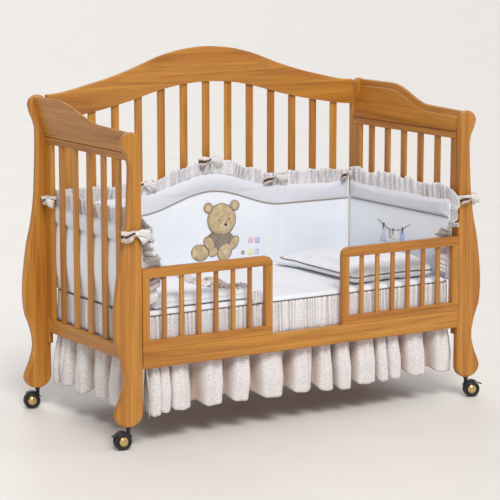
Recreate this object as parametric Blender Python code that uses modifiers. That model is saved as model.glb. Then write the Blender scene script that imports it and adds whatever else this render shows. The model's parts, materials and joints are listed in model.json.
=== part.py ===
"""Baby crib with scroll posts, a camel-back rear panel, two half guard rails and twin-wheel casters.

Run with: blender --background --python part.py
Metres, +Z up, +X along the length, the open front faces -Y. The origin is on the floor, under the
middle of the wooden frame.
"""
import math

import bmesh
import bpy
from mathutils import Matrix, Vector

# Frame
INNER_LENGTH = 1.220        # between the inner edges of the posts
DEPTH = 0.660               # front face of the front posts to rear face of the rear posts
GAP = 0.0003                # between pieces that touch
EDGE = 0.002                # softened edge of the small timbers
SHARP_ANGLE = 50            # a steeper edge is shaded as a sharp one

# Posts
POST_THICKNESS = 0.027
POST_EDGE = 0.007           # rounding of the sawn outline
FRONT_POST_HEIGHT = 0.985
REAR_POST_HEIGHT = 1.052
POST_ABOVE_WHEEL = 0.015    # from the top of the wheels to the post's foot
HEAD_RADIUS = 0.033
NECK_WIDTH = 0.0415
FRONT_NECK_DROP = 0.100     # top of the post down to the narrowest part of its neck
REAR_NECK_DROP = 0.112
FOOT_WIDTH = 0.097
FOOT_HEIGHT = 0.0425        # bottom of the foot up to its widest part
# Outer edge of a post between foot and neck: (height above the floor, width)
POST_CURVE = (
    (0.1585, 0.0770),
    (0.2200, 0.0622),
    (0.2830, 0.0740),
    (0.3350, 0.0925),
    (0.3950, 0.0965),
    (0.5430, 0.0816),
    (0.6330, 0.0610),
    (0.7400, 0.0480),
)

# Front rail, rear rails and guard rails
RAIL_THICKNESS = 0.022
RAIL_BOTTOM = 0.249
RAIL_TOP = 0.308
GUARD_LENGTH = 0.474
GUARD_TOP = 0.563
GUARD_TOP_RAIL = 0.031
GUARD_LOW_RAIL = 0.028
GUARD_STILE = 0.025
GUARD_CORNER = 0.025        # radius of the guard's free top corner
GUARD_SLATS = 6
GUARD_SLAT_WIDTH = 0.0135
GUARD_SLAT_THICKNESS = 0.008

# Rear panel
ARCH_SHOULDER = 1.050       # top of the rear rail beside the posts
ARCH_RISE = 0.138
ARCH_UNDERSIDE = 0.963      # bottom of the rear rail beside the posts
ARCH_UNDERSIDE_RISE = 0.105
# Share of the rise against share of the half length, from the middle to the post
ARCH_SHAPE = ((0.0, 1.0), (0.14, 0.955), (0.30, 0.80), (0.49, 0.50), (0.72, 0.215), (1.0, 0.0))
REAR_SLATS = 13
REAR_END_GAP = 0.0644       # from a post to the nearest slat
SLAT_WIDTH = 0.028
SLAT_THICKNESS = 0.009

# Moulded band along the top of the rear rail and the end boards
BAND_HEIGHT = 0.022
BAND_STEP = 0.003
TOP_ROUND = 0.005

# End panels
PANEL_THICKNESS = 0.014
BOARD_BOTTOM = 0.9165
BOARD_LEAN = 0.30           # sideways travel for each unit of height
BOARD_FRONT_TOP = 0.983
BOARD_STEP_FRONT = 0.989    # height where the sweep meets the low front part
BOARD_REAR_TOP = 1.048
BOARD_SWEEP = (0.210, 0.460)  # where the sweep starts and ends, from the front face
MID_RAIL_BOTTOM = 0.891
MID_RAIL_HEIGHT = 0.021
TONGUE_THICKNESS = 0.006    # the mid rail's tongue, which leaves a shadow line below the board
END_RAIL_BOTTOM = 0.259
END_RAIL_TOP = 0.305
FRONT_STILE = 0.030
REAR_STILE = 0.048
STILE_STUB = 0.014          # what is left of a stile beside the bottom rail
STILE_BOTTOM = 0.222
END_SLATS = 5
END_SLAT_GAP = 0.095        # from a post to the nearest slat
END_SLAT_WIDTH = 0.030

# Mattress base
BASE_THICKNESS = 0.018
BASE_TOP = 0.2877
BASE_CLEAR = 0.012          # from the base to the timbers round it
BASE_BORDER = 0.045
BASE_SLATS = 12
BASE_SLAT_WIDTH = 0.050
LUG = 0.014                 # width of the corner lugs, which are bolted to the stiles

# Casters
WHEEL_RADIUS = 0.0275
WHEEL_WIDTH = 0.009
WHEEL_SPACING = 0.0075      # between the twin wheels
TREAD_ROUND = 0.0022
HUB_RADIUS = 0.0150
HUB_DISH = 0.0025
AXLE_RADIUS = 0.003
BORE_CLEARANCE = 0.0004
TURNED_SIDES = 24           # sides of a wheel
ROUND_SIDES = 16            # sides of a stem, a bore or an axle
SPACE_SIDES = 48            # sides of the space that is cut for the wheels
TRAIL = 0.020
WEB_THICKNESS = 0.006
WEB_BOSS = 0.005            # wall of the web round the axle
WEB_TOP = (150, 80)         # where the web meets the hood, in degrees round the axle
WEB_FOOT = (60, -150)       # the round part of the web below the axle
HOOD_GAP = 0.0015
HOOD_THICKNESS = 0.003
HOOD_WIDTH = 0.021
HOOD_START = 158.0          # end of the hood beside the stem, in degrees round the axle
HOOD_EDGE = 0.0006
STEM_RADIUS = 0.005
STEM_INSERT = 0.032
STEM_CLEARANCE = 0.0004
STEM_START = 1.7            # bottom of the stem inside the hood, in wheel radii
STEM_POSITION = 0.048       # from the post's inner edge
COLLAR_RADIUS = 0.009
COLLAR_HEIGHT = 0.004
NECK_RADIUS = 0.0065
NECK_START = 1.5            # bottom of the neck inside the hood, in wheel radii
# Direction of each caster's trail at rest, in degrees about +Z
CASTER_TURN = {"front_left": 175.0, "front_right": -22.0, "rear_left": 163.0, "rear_right": 20.0}
LEVER_PIVOT_ANGLE = 48.0    # round the axle, from the trailing direction
LEVER_BARREL = 0.0018
LEVER_ARC = (40, 320)       # the round part of the barrel, in degrees from the lever's run
LEVER_EDGE = 0.0003
LEVER_INSET = 0.001         # from each side of the hood to the lever
# Side outline of the lever's pad from its pivot: (along the wheel's rim, outward)
LEVER_PAD = (
    (0.0055, -0.0010),
    (0.0120, 0.0020),
    (0.0150, 0.0052),
    (0.0140, 0.0066),
    (0.0060, 0.0016),
)

# Bedding
MATTRESS_TOP = 0.420
MATTRESS_CLEAR = 0.0145     # from the mattress to the timbers round it
MATTRESS_EDGE = 0.012
PILLOW_LENGTH = 0.365
PILLOW_HEIGHT = 0.072
PILLOW_EDGE = 0.030
PILLOW_REAR_CLEAR = 0.0402  # from the pillow to the rear bumper
DUVET_LENGTH = 0.405
DUVET_HEIGHT = 0.034
DUVET_EDGE = 0.016
DUVET_REAR_CLEAR = 0.0702   # from the duvet to the rear bumper
BEDDING_SIDE_CLEAR = 0.0187 # from the pillow and the duvet to the bumper beside them
BUMPER_THICKNESS = 0.026
BUMPER_TOP = 0.694
BUMPER_ARCH = 0.064
BUMPER_ARCH_HALF = 0.290
BUMPER_EDGE = 0.009
REAR_BUMPER_EDGE = 0.008
SKIRT_BOTTOM = 0.094
SKIRT_SHEET = 0.002         # the sheet that the valances hang from
SKIRT_THICKNESS = 0.005
SKIRT_CLEAR = 0.0015
SKIRT_INSET = 0.004         # from the sheet's end to the long valances
SKIRT_LAP = 0.0005          # the sheet above the top of the valances

HALF = INNER_LENGTH / 2
FRONT = -DEPTH / 2
REAR = DEPTH / 2
POST_REAR = FRONT + POST_THICKNESS      # rear face of the front posts
REAR_FACE = REAR - POST_THICKNESS       # front face of the rear posts and of the rear panel
POST_BOTTOM = 2 * WHEEL_RADIUS + POST_ABOVE_WHEEL
REAR_SLAT_PITCH = (INNER_LENGTH - 2 * REAR_END_GAP - SLAT_WIDTH) / (REAR_SLATS - 1)
END_SLAT_PITCH = (REAR_FACE - POST_REAR - 2 * END_SLAT_GAP - END_SLAT_WIDTH) / (END_SLATS - 1)
SIDE_BUMPER_FACE = HALF - GAP - BUMPER_THICKNESS        # inner faces of the bumpers
REAR_BUMPER_FACE = REAR_FACE - GAP - BUMPER_THICKNESS
SIDES = {"left": -1, "right": 1}

ALONG_X = Matrix(((1, 0, 0), (0, 0, -1), (0, 1, 0))).to_4x4()   # outline x, z; thickness along y
ALONG_Y = Matrix(((0, 0, 1), (1, 0, 0), (0, 1, 0))).to_4x4()    # outline y, z; thickness along x


def clear_scene():
    for obj in list(bpy.data.objects):
        bpy.data.objects.remove(obj, do_unlink=True)


def new_collection(name):
    collection = bpy.data.collections.new(name)
    bpy.context.scene.collection.children.link(collection)
    return collection


def material(name, colour, roughness):
    mat = bpy.data.materials.new(name)
    mat.use_nodes = True
    shader = mat.node_tree.nodes["Principled BSDF"]
    shader.inputs["Base Color"].default_value = (*colour, 1.0)
    shader.inputs["Roughness"].default_value = roughness
    return mat


def add_object(name, data, mat, collection):
    obj = bpy.data.objects.new(name, data)
    data.materials.append(mat)
    collection.objects.link(obj)
    return obj


def mesh_from(bm, name):
    mesh = bpy.data.meshes.new(name)
    bm.to_mesh(mesh)
    bm.free()
    return mesh


def soften(obj, width, segments):
    bevel = obj.modifiers.new("soft_edges", "BEVEL")
    bevel.width = width
    bevel.segments = segments
    bevel.limit_method = "ANGLE"
    bevel.angle_limit = math.radians(40)


def shade(mesh):
    """Smooth shading with sharp corners."""
    mesh.shade_smooth()
    mesh.set_sharp_from_angle(angle=math.radians(SHARP_ANGLE))


def cube_mesh(name, low, high):
    """A box between two corners."""
    low, high = Vector(low), Vector(high)
    bm = bmesh.new()
    bmesh.ops.create_cube(bm, size=1.0)
    bmesh.ops.scale(bm, vec=high - low, verts=bm.verts)
    bmesh.ops.translate(bm, vec=(low + high) / 2, verts=bm.verts)
    return mesh_from(bm, name)


def bar(name, low, high):
    """A straight timber with softened edges."""
    obj = add_object(name, cube_mesh(name, low, high), WOOD, PARTS)
    soften(obj, EDGE, 1)
    return obj


def block(name, low, high, edge, mat):
    """A soft piece as a rounded box."""
    obj = add_object(name, cube_mesh(name, low, high), mat, PARTS)
    soften(obj, edge, 2)
    obj.data.shade_smooth()
    return obj


def plate(name, outline, turn, middle, thickness, edge, mat, holes=(), resolution=1):
    """A flat outline with rounded rims, as a filled 2D curve. middle is its place across the outline."""
    curve = bpy.data.curves.new(name, "CURVE")
    curve.dimensions = "2D"
    curve.fill_mode = "BOTH"
    curve.extrude = thickness / 2 - edge
    curve.bevel_depth = edge
    curve.bevel_resolution = resolution
    curve.offset = -edge
    for loop in (outline, *holes):
        spline = curve.splines.new("POLY")
        spline.points.add(len(loop) - 1)
        for point, (u, v) in zip(spline.points, loop):
            point.co = (u, v, 0.0, 1.0)
        spline.use_cyclic_u = True
    obj = add_object(name, curve, mat, PARTS)
    obj.matrix_world = Matrix.Translation(middle) @ turn
    return obj


def as_mesh(obj):
    """Replaces a curve object by its welded mesh, so that it can take a Boolean."""
    bpy.context.view_layer.update()
    graph = bpy.context.evaluated_depsgraph_get()
    mesh = bpy.data.meshes.new_from_object(obj.evaluated_get(graph))
    bm = bmesh.new()
    bm.from_mesh(mesh)
    bmesh.ops.remove_doubles(bm, verts=bm.verts, dist=0.00001)
    bm.to_mesh(mesh)
    bm.free()
    name, place, mat = obj.name, obj.matrix_world.copy(), obj.data.materials[0]
    collection = obj.users_collection[0]
    bpy.data.objects.remove(obj, do_unlink=True)
    mesh.name = name
    mesh.materials.clear()
    solid = add_object(name, mesh, mat, collection)
    solid.matrix_world = place
    return solid


def tool(name, mesh):
    """A cutter or a joining body, which isn't a part itself."""
    obj = bpy.data.objects.new(name, mesh)
    TOOLS.objects.link(obj)
    obj.hide_render = True
    obj.display_type = "WIRE"
    return obj


def combine(obj, other, operation):
    boolean = obj.modifiers.new(other.name, "BOOLEAN")
    boolean.operation = operation
    boolean.object = other
    boolean.solver = "EXACT"


def cylinder_mesh(name, radius, low, high):
    """An upright cylinder from height low to height high."""
    bm = bmesh.new()
    bmesh.ops.create_cone(
        bm, cap_ends=True, segments=ROUND_SIDES, radius1=radius, radius2=radius, depth=high - low
    )
    bmesh.ops.translate(bm, vec=(0, 0, (low + high) / 2), verts=bm.verts)
    return mesh_from(bm, name)


def loft(name, sections):
    """Joins sections with the same number of points into one closed timber."""
    bm = bmesh.new()
    rings = [[bm.verts.new(point) for point in section] for section in sections]
    count = len(rings[0])
    for ring, following in zip(rings, rings[1:]):
        for i in range(count):
            j = (i + 1) % count
            bm.faces.new((ring[i], ring[j], following[j], following[i]))
    bm.faces.new(rings[0])
    bm.faces.new(rings[-1])
    bmesh.ops.recalc_face_normals(bm, faces=bm.faces)
    obj = add_object(name, mesh_from(bm, name), WOOD, PARTS)
    shade(obj.data)


def slopes(points):
    """Slopes that make a cubic through the points without overshoot."""
    chords = [(b[1] - a[1]) / (b[0] - a[0]) for a, b in zip(points, points[1:])]
    inner = [
        0.0 if before * after <= 0 else 2 * before * after / (before + after)
        for before, after in zip(chords, chords[1:])
    ]
    return [0.0, *inner, 0.0]


def smooth_value(points, at):
    """Height of the smooth curve through the points, which lies flat at both ends."""
    rates = slopes(points)
    last = len(points) - 2
    index = next((i for i in range(last) if at <= points[i + 1][0]), last)
    (x0, y0), (x1, y1) = points[index], points[index + 1]
    span = x1 - x0
    t = (at - x0) / span
    return (
        y0 * (1 + 2 * t) * (1 - t) ** 2
        + rates[index] * span * t * (1 - t) ** 2
        + y1 * t * t * (3 - 2 * t)
        + rates[index + 1] * span * t * t * (t - 1)
    )


def spread(start, end, count):
    """count evenly spaced values from start to end."""
    return [start + (end - start) * i / (count - 1) for i in range(count)]


def arc(centre, radius_u, radius_v, start, end, steps):
    """Points on an ellipse's arc, angles in degrees."""
    return [
        (centre[0] + radius_u * math.cos(a), centre[1] + radius_v * math.sin(a))
        for a in (math.radians(d) for d in spread(start, end, steps))
    ]


def post_outline(height, neck_drop):
    """Outline of a post: u runs outward from its straight inner edge, v is the height."""
    foot_level = POST_BOTTOM + FOOT_HEIGHT
    head_level = height - HEAD_RADIUS
    edge = [
        (foot_level, FOOT_WIDTH),
        *POST_CURVE,
        (height - neck_drop, NECK_WIDTH),
        (head_level, 2 * HEAD_RADIUS),
    ]
    levels = spread(foot_level, head_level, 36)[1:-1]
    side = [(smooth_value(edge, level), level) for level in levels]
    heel = (STEM_POSITION, foot_level)
    outer_foot = arc(heel, FOOT_WIDTH - STEM_POSITION, FOOT_HEIGHT, -90, 0, 8)
    head = arc((HEAD_RADIUS, head_level), HEAD_RADIUS, HEAD_RADIUS, 0, 180, 14)
    inner_foot = arc(heel, STEM_POSITION, FOOT_HEIGHT, 180, 270, 8)[:-1]
    return outer_foot + side + head + inner_foot


def post(name, side, middle, height, neck_drop):
    """A scroll post with the bore that takes its caster's stem."""
    outline = [(side * (HALF + u), v) for u, v in post_outline(height, neck_drop)]
    body = plate(name, outline, ALONG_X, (0, middle, 0), POST_THICKNESS, POST_EDGE, WOOD)
    body = as_mesh(body)
    bore = cylinder_mesh(
        name + "_bore", STEM_RADIUS + STEM_CLEARANCE, 0.0, POST_BOTTOM + STEM_INSERT + GAP
    )
    cutter = tool(name + "_bore", bore)
    cutter.location = (side * (HALF + STEM_POSITION), middle, 0)
    combine(body, cutter, "DIFFERENCE")
    shade(body.data)


def posts():
    front = FRONT + POST_THICKNESS / 2
    rear = REAR - POST_THICKNESS / 2
    for label, side in SIDES.items():
        post("post_front_" + label, side, front, FRONT_POST_HEIGHT, FRONT_NECK_DROP)
        post("post_rear_" + label, side, rear, REAR_POST_HEIGHT, REAR_NECK_DROP)


def arch_top(x):
    return ARCH_SHOULDER + ARCH_RISE * smooth_value(ARCH_SHAPE, abs(x) / HALF)


def arch_underside(x):
    return ARCH_UNDERSIDE + ARCH_UNDERSIDE_RISE * smooth_value(ARCH_SHAPE, abs(x) / HALF)


def moulded_section(bottom, top, thickness):
    """Section of a board whose face steps back below its rounded top: (depth, height) pairs."""
    step = top - BAND_HEIGHT
    near = (BAND_STEP + TOP_ROUND, top - TOP_ROUND)
    far = (thickness - TOP_ROUND, top - TOP_ROUND)
    return [
        (thickness, bottom),
        (0.0, bottom),
        (0.0, step - BAND_STEP / 2),
        (BAND_STEP / 2, step),
        (BAND_STEP, step),
        *arc(near, TOP_ROUND, TOP_ROUND, 180, 90, 4),
        *arc(far, TOP_ROUND, TOP_ROUND, 90, 0, 4),
    ]


def rear_panel():
    end = HALF - GAP
    sections = [
        [
            (x, REAR_FACE + depth, z)
            for depth, z in moulded_section(arch_underside(x), arch_top(x), RAIL_THICKNESS)
        ]
        for x in spread(-end, end, 41)
    ]
    loft("rear_top_rail", sections)
    bar("rear_bottom_rail", (-end, REAR_FACE, RAIL_BOTTOM), (end, REAR_FACE + RAIL_THICKNESS, RAIL_TOP))
    near = REAR_FACE + (RAIL_THICKNESS - SLAT_THICKNESS) / 2
    for index in range(REAR_SLATS):
        x = (index - (REAR_SLATS - 1) / 2) * REAR_SLAT_PITCH
        low = (x - SLAT_WIDTH / 2, near, RAIL_TOP + GAP)
        high = (x + SLAT_WIDTH / 2, near + SLAT_THICKNESS, ARCH_SHOULDER)
        slat = bar(f"rear_slat_{index + 1}", low, high)
        for vertex in slat.data.vertices:
            if vertex.co.z > RAIL_TOP + SLAT_WIDTH:
                vertex.co.z = arch_underside(vertex.co.x) - GAP


def front_rail():
    end = HALF - GAP
    bar("front_rail", (-end, FRONT, RAIL_BOTTOM), (end, FRONT + RAIL_THICKNESS, RAIL_TOP))


def guard_frame_outline(side):
    """Outer outline of a guard rail, from the post (side * HALF) to its free rounded corner."""
    outer = HALF - GAP
    free = HALF - GUARD_LENGTH
    bottom = RAIL_TOP + GAP
    corner = arc((free + GUARD_CORNER, GUARD_TOP - GUARD_CORNER), GUARD_CORNER, GUARD_CORNER, 180, 90, 7)
    outline = [(outer, bottom), (free, bottom), *corner, (outer, GUARD_TOP)]
    return [(side * u, v) for u, v in outline]


def guard_rail(label, side):
    """A half guard rail: a frame with a rounded free corner, and slats let into it."""
    middle = FRONT + RAIL_THICKNESS / 2
    low = RAIL_TOP + GAP + GUARD_LOW_RAIL
    high = GUARD_TOP - GUARD_TOP_RAIL
    inner = HALF - GUARD_LENGTH + GUARD_STILE
    outer = HALF - GAP - GUARD_STILE
    hole = [(side * inner, low), (side * outer, low), (side * outer, high), (side * inner, high)]
    name = "guard_rail_" + label
    frame = plate(
        name,
        guard_frame_outline(side),
        ALONG_X,
        (0, middle, 0),
        RAIL_THICKNESS,
        EDGE,
        WOOD,
        holes=(hole,),
    )
    frame = as_mesh(frame)
    gap = (outer - inner - GUARD_SLATS * GUARD_SLAT_WIDTH) / (GUARD_SLATS + 1)
    for index in range(GUARD_SLATS):
        start = inner + gap + index * (gap + GUARD_SLAT_WIDTH)
        edges = sorted((side * start, side * (start + GUARD_SLAT_WIDTH)))
        near = (edges[0], middle - GUARD_SLAT_THICKNESS / 2, low - GUARD_LOW_RAIL / 2)
        far = (edges[1], middle + GUARD_SLAT_THICKNESS / 2, high + GUARD_TOP_RAIL / 2)
        slat = tool(f"{name}_slat_{index + 1}", cube_mesh(f"{name}_slat_{index + 1}", near, far))
        combine(frame, slat, "UNION")
    shade(frame.data)


def board_top(y):
    """Height of an end board's top edge, which sweeps down towards the front."""
    start, end = (FRONT + distance for distance in BOARD_SWEEP)
    if y < start:
        share = (y - POST_REAR) / (start - POST_REAR)
        return BOARD_FRONT_TOP + (BOARD_STEP_FRONT - BOARD_FRONT_TOP) * share
    points = (
        (start, BOARD_STEP_FRONT),
        (end, BOARD_REAR_TOP),
        (REAR_FACE, BOARD_REAR_TOP),
    )
    return smooth_value(points, y)


def end_board(label, side):
    """The wide top board of an end. It leans outward with the posts' scroll."""
    sections = []
    for y in spread(POST_REAR + GAP, REAR_FACE - GAP, 31):
        section = moulded_section(BOARD_BOTTOM, board_top(y), PANEL_THICKNESS)
        sections.append(
            [(side * (HALF + depth + BOARD_LEAN * (z - BOARD_BOTTOM)), y, z) for depth, z in section]
        )
    loft("end_board_" + label, sections)


def mid_rail_section():
    """Section of the rail under the board: full thickness below, a tongue above."""
    shoulder = MID_RAIL_BOTTOM + MID_RAIL_HEIGHT
    near = (PANEL_THICKNESS - TONGUE_THICKNESS) / 2
    far = near + TONGUE_THICKNESS
    top = BOARD_BOTTOM - GAP
    return [
        (PANEL_THICKNESS, MID_RAIL_BOTTOM),
        (0.0, MID_RAIL_BOTTOM),
        (0.0, shoulder),
        (near, shoulder),
        (near, top),
        (far, top),
        (far, shoulder),
        (PANEL_THICKNESS, shoulder),
    ]


def end_stile(name, side, start, direction, width):
    """An upright beside a post. It is notched for the bottom rail, and its stub runs on below."""
    wide, stub = start + direction * width, start + direction * STILE_STUB
    notch = END_RAIL_TOP + GAP
    top = MID_RAIL_BOTTOM - GAP
    outline = [
        (start, STILE_BOTTOM),
        (stub, STILE_BOTTOM),
        (stub, notch),
        (wide, notch),
        (wide, top),
        (start, top),
    ]
    middle = (side * (HALF + PANEL_THICKNESS / 2), 0, 0)
    plate(name, outline, ALONG_Y, middle, PANEL_THICKNESS, EDGE, WOOD, resolution=0)


def end_slats(label, low_x, high_x):
    inset = (PANEL_THICKNESS - SLAT_THICKNESS) / 2
    for index in range(END_SLATS):
        y = (index - (END_SLATS - 1) / 2) * END_SLAT_PITCH
        low = (low_x + inset, y - END_SLAT_WIDTH / 2, END_RAIL_TOP + GAP)
        high = (high_x - inset, y + END_SLAT_WIDTH / 2, MID_RAIL_BOTTOM - GAP)
        bar(f"end_slat_{label}_{index + 1}", low, high)


def end_panel(label, side):
    front = POST_REAR + GAP
    rear = REAR_FACE - GAP
    end_board(label, side)
    sections = [
        [(side * (HALF + depth), y, z) for depth, z in mid_rail_section()] for y in (front, rear)
    ]
    loft("end_mid_rail_" + label, sections)
    near, far = sorted((side * HALF, side * (HALF + PANEL_THICKNESS)))
    margin = STILE_STUB + GAP
    bar(
        "end_bottom_rail_" + label,
        (near, front + margin, END_RAIL_BOTTOM),
        (far, rear - margin, END_RAIL_TOP),
    )
    end_stile(f"end_stile_front_{label}", side, front, 1, FRONT_STILE)
    end_stile(f"end_stile_rear_{label}", side, rear, -1, REAR_STILE)
    end_slats(label, near, far)


def rectangle(low_u, low_v, high_u, high_v):
    return [(low_u, low_v), (high_u, low_v), (high_u, high_v), (low_u, high_v)]


def base_bounds():
    """Half length, front edge and rear edge of the mattress base."""
    return HALF - BASE_CLEAR, FRONT + RAIL_THICKNESS + BASE_CLEAR, REAR_FACE - BASE_CLEAR


def mattress_base():
    """A slatted base with a lug at each corner, which is bolted to the stile beside it."""
    half, front, rear = base_bounds()
    first = -half + BASE_BORDER
    gap = (2 * -first - BASE_SLATS * BASE_SLAT_WIDTH) / (BASE_SLATS + 1)
    holes = []
    for index in range(BASE_SLATS + 1):
        start = first + index * (gap + BASE_SLAT_WIDTH)
        holes.append(rectangle(start, front + BASE_BORDER, start + gap, rear - BASE_BORDER))
    reach = HALF - GAP
    outline = [
        (-reach, front),
        (reach, front),
        (reach, front + LUG),
        (half, front + LUG),
        (half, rear - LUG),
        (reach, rear - LUG),
        (reach, rear),
        (-reach, rear),
        (-reach, rear - LUG),
        (-half, rear - LUG),
        (-half, front + LUG),
        (-reach, front + LUG),
    ]
    middle = (0, 0, BASE_TOP - BASE_THICKNESS / 2)
    plate("mattress_base", outline, Matrix.Identity(4), middle, BASE_THICKNESS, 0.0, PLY, holes)


def hood_outline():
    """Side outline of a caster's hood: an arc round the wheel, from the stem to the brake lever."""
    inner = WHEEL_RADIUS + HOOD_GAP
    outer = inner + HOOD_THICKNESS
    centre = (TRAIL, WHEEL_RADIUS)
    barrel_share = math.degrees((LEVER_BARREL + GAP) / (inner + HOOD_THICKNESS / 2))
    start, end = HOOD_START, LEVER_PIVOT_ANGLE + barrel_share
    return arc(centre, outer, outer, start, end, 10) + arc(centre, inner, inner, end, start, 10)


def web_outline():
    """Side outline of the web between the twin wheels, from the axle boss up to the hood."""
    centre = (TRAIL, WHEEL_RADIUS)
    reach = WHEEL_RADIUS + HOOD_GAP + HOOD_THICKNESS / 2
    boss = AXLE_RADIUS + WEB_BOSS
    return arc(centre, reach, reach, *WEB_TOP, 6) + arc(centre, boss, boss, *WEB_FOOT, 9)


def axle_cylinder(name, radius, sides):
    """A cylinder on the wheel's axle, along Y, wider than the hood."""
    bm = bmesh.new()
    bmesh.ops.create_cone(
        bm, cap_ends=True, segments=sides, radius1=radius, radius2=radius, depth=2 * HOOD_WIDTH
    )
    bmesh.ops.rotate(bm, verts=bm.verts, cent=(0, 0, 0), matrix=Matrix.Rotation(math.pi / 2, 3, "X"))
    bmesh.ops.translate(bm, vec=(TRAIL, 0, WHEEL_RADIUS), verts=bm.verts)
    return mesh_from(bm, name)


def flat_piece(name, outline, thickness, edge):
    """A small moulded piece from its side outline, as a mesh."""
    return as_mesh(plate(name, outline, ALONG_X, (0, 0, 0), thickness, edge, BLACK, resolution=0))


def upright(name, radius, low, high):
    return tool(name, cylinder_mesh(name, radius, low, high))


def caster_tools():
    """What is joined to the hood or cut from it, in that order."""
    collar_top = POST_BOTTOM - GAP
    stem_top = POST_BOTTOM + STEM_INSERT
    space = axle_cylinder("wheel_space", WHEEL_RADIUS + HOOD_GAP, SPACE_SIDES)
    bore = axle_cylinder("axle_bore", AXLE_RADIUS + BORE_CLEARANCE, ROUND_SIDES)
    return [
        ("UNION", upright("neck", NECK_RADIUS, NECK_START * WHEEL_RADIUS, collar_top)),
        ("UNION", upright("collar", COLLAR_RADIUS, collar_top - COLLAR_HEIGHT, collar_top)),
        ("UNION", upright("stem", STEM_RADIUS, STEM_START * WHEEL_RADIUS, stem_top)),
        ("DIFFERENCE", tool("wheel_space", space)),
        ("UNION", flat_piece("caster_web", web_outline(), WEB_THICKNESS, 0.0)),
        ("DIFFERENCE", tool("axle_bore", bore)),
    ]


def caster_frame_mesh():
    """Hood, web, collar and stem of a caster in one body, its swivel axis on local Z."""
    hood = flat_piece("caster_hood", hood_outline(), HOOD_WIDTH, HOOD_EDGE)
    tools = caster_tools()
    for operation, other in tools:
        combine(hood, other, operation)
    bpy.context.view_layer.update()
    graph = bpy.context.evaluated_depsgraph_get()
    mesh = bpy.data.meshes.new_from_object(hood.evaluated_get(graph))
    mesh.transform(hood.matrix_world)
    for obj in (hood, *(other for _, other in tools)):
        bpy.data.objects.remove(obj, do_unlink=True)
    mesh.name = "caster_frame"
    mesh.materials.clear()
    mesh.materials.append(BLACK)
    shade(mesh)
    return mesh


def wheel_profile():
    """Half section of the twin wheels and their axle, from the top of the axis to its bottom."""
    inner = WHEEL_SPACING / 2
    outer = inner + WHEEL_WIDTH
    upper = [
        (0.0, outer - HUB_DISH),
        (HUB_RADIUS, outer - HUB_DISH),
        (HUB_RADIUS + HUB_DISH, outer),
        (WHEEL_RADIUS - TREAD_ROUND, outer),
        (WHEEL_RADIUS, outer - TREAD_ROUND),
        (WHEEL_RADIUS, inner),
        (AXLE_RADIUS, inner),
    ]
    bm = bmesh.new()
    points = upper + [(r, -w) for r, w in reversed(upper)]
    chain = [bm.verts.new((r, 0, w)) for r, w in points]
    for start, end in zip(chain, chain[1:]):
        bm.edges.new((start, end))
    mesh = mesh_from(bm, "caster_wheel")
    mesh.materials.append(BLACK)
    return mesh


def turn_wheel(obj):
    """Turns the profile about the wheel's own axis, which is laid along the caster's Y."""
    screw = obj.modifiers.new("turned", "SCREW")
    screw.steps = TURNED_SIDES
    screw.render_steps = TURNED_SIDES
    screw.use_merge_vertices = True
    screw.merge_threshold = 0.00001
    screw.use_smooth_shade = False
    obj.rotation_euler.x = math.pi / 2


def lever_pivot():
    """The brake lever's pivot in the caster's own frame."""
    reach = WHEEL_RADIUS + HOOD_GAP + HOOD_THICKNESS / 2
    angle = math.radians(LEVER_PIVOT_ANGLE)
    return Vector((TRAIL + reach * math.cos(angle), 0, WHEEL_RADIUS + reach * math.sin(angle)))


def lever_mesh():
    """A brake lever about its pivot: a round barrel and a pad that follows the wheel outward."""
    angle = math.radians(LEVER_PIVOT_ANGLE)
    along = Vector((math.sin(angle), -math.cos(angle)))
    outward = Vector((math.cos(angle), math.sin(angle)))
    outline = arc((0, 0), LEVER_BARREL, LEVER_BARREL, *LEVER_ARC, 11) + list(LEVER_PAD)
    placed = [tuple(along * run + outward * rise) for run, rise in outline]
    lever = flat_piece("lever", placed, HOOD_WIDTH - 2 * LEVER_INSET, LEVER_EDGE)
    mesh = lever.data.copy()
    mesh.transform(lever.matrix_world)
    bpy.data.objects.remove(lever, do_unlink=True)
    mesh.name = "caster_lever"
    shade(mesh)
    return mesh


def add_child(name, mesh, parent, location):
    obj = bpy.data.objects.new(name, mesh)
    PARTS.objects.link(obj)
    obj.parent = parent
    obj.location = location
    return obj


def casters():
    frame, wheel, lever = caster_frame_mesh(), wheel_profile(), lever_mesh()
    rows = {"front": FRONT + POST_THICKNESS / 2, "rear": REAR - POST_THICKNESS / 2}
    for place, turn in CASTER_TURN.items():
        row, label = place.split("_")
        swivel = bpy.data.objects.new("swivel_" + place, None)
        PARTS.objects.link(swivel)
        swivel.location = (SIDES[label] * (HALF + STEM_POSITION), rows[row], 0)
        swivel.rotation_euler.z = math.radians(turn)
        add_child("caster_frame_" + place, frame, swivel, (0, 0, 0))
        turn_wheel(add_child("caster_wheel_" + place, wheel, swivel, (TRAIL, 0, WHEEL_RADIUS)))
        if row == "front":
            add_child("brake_lever_" + place, lever, swivel, lever_pivot())


def valance(name, low, high):
    return tool(name, cube_mesh(name, low, high))


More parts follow.
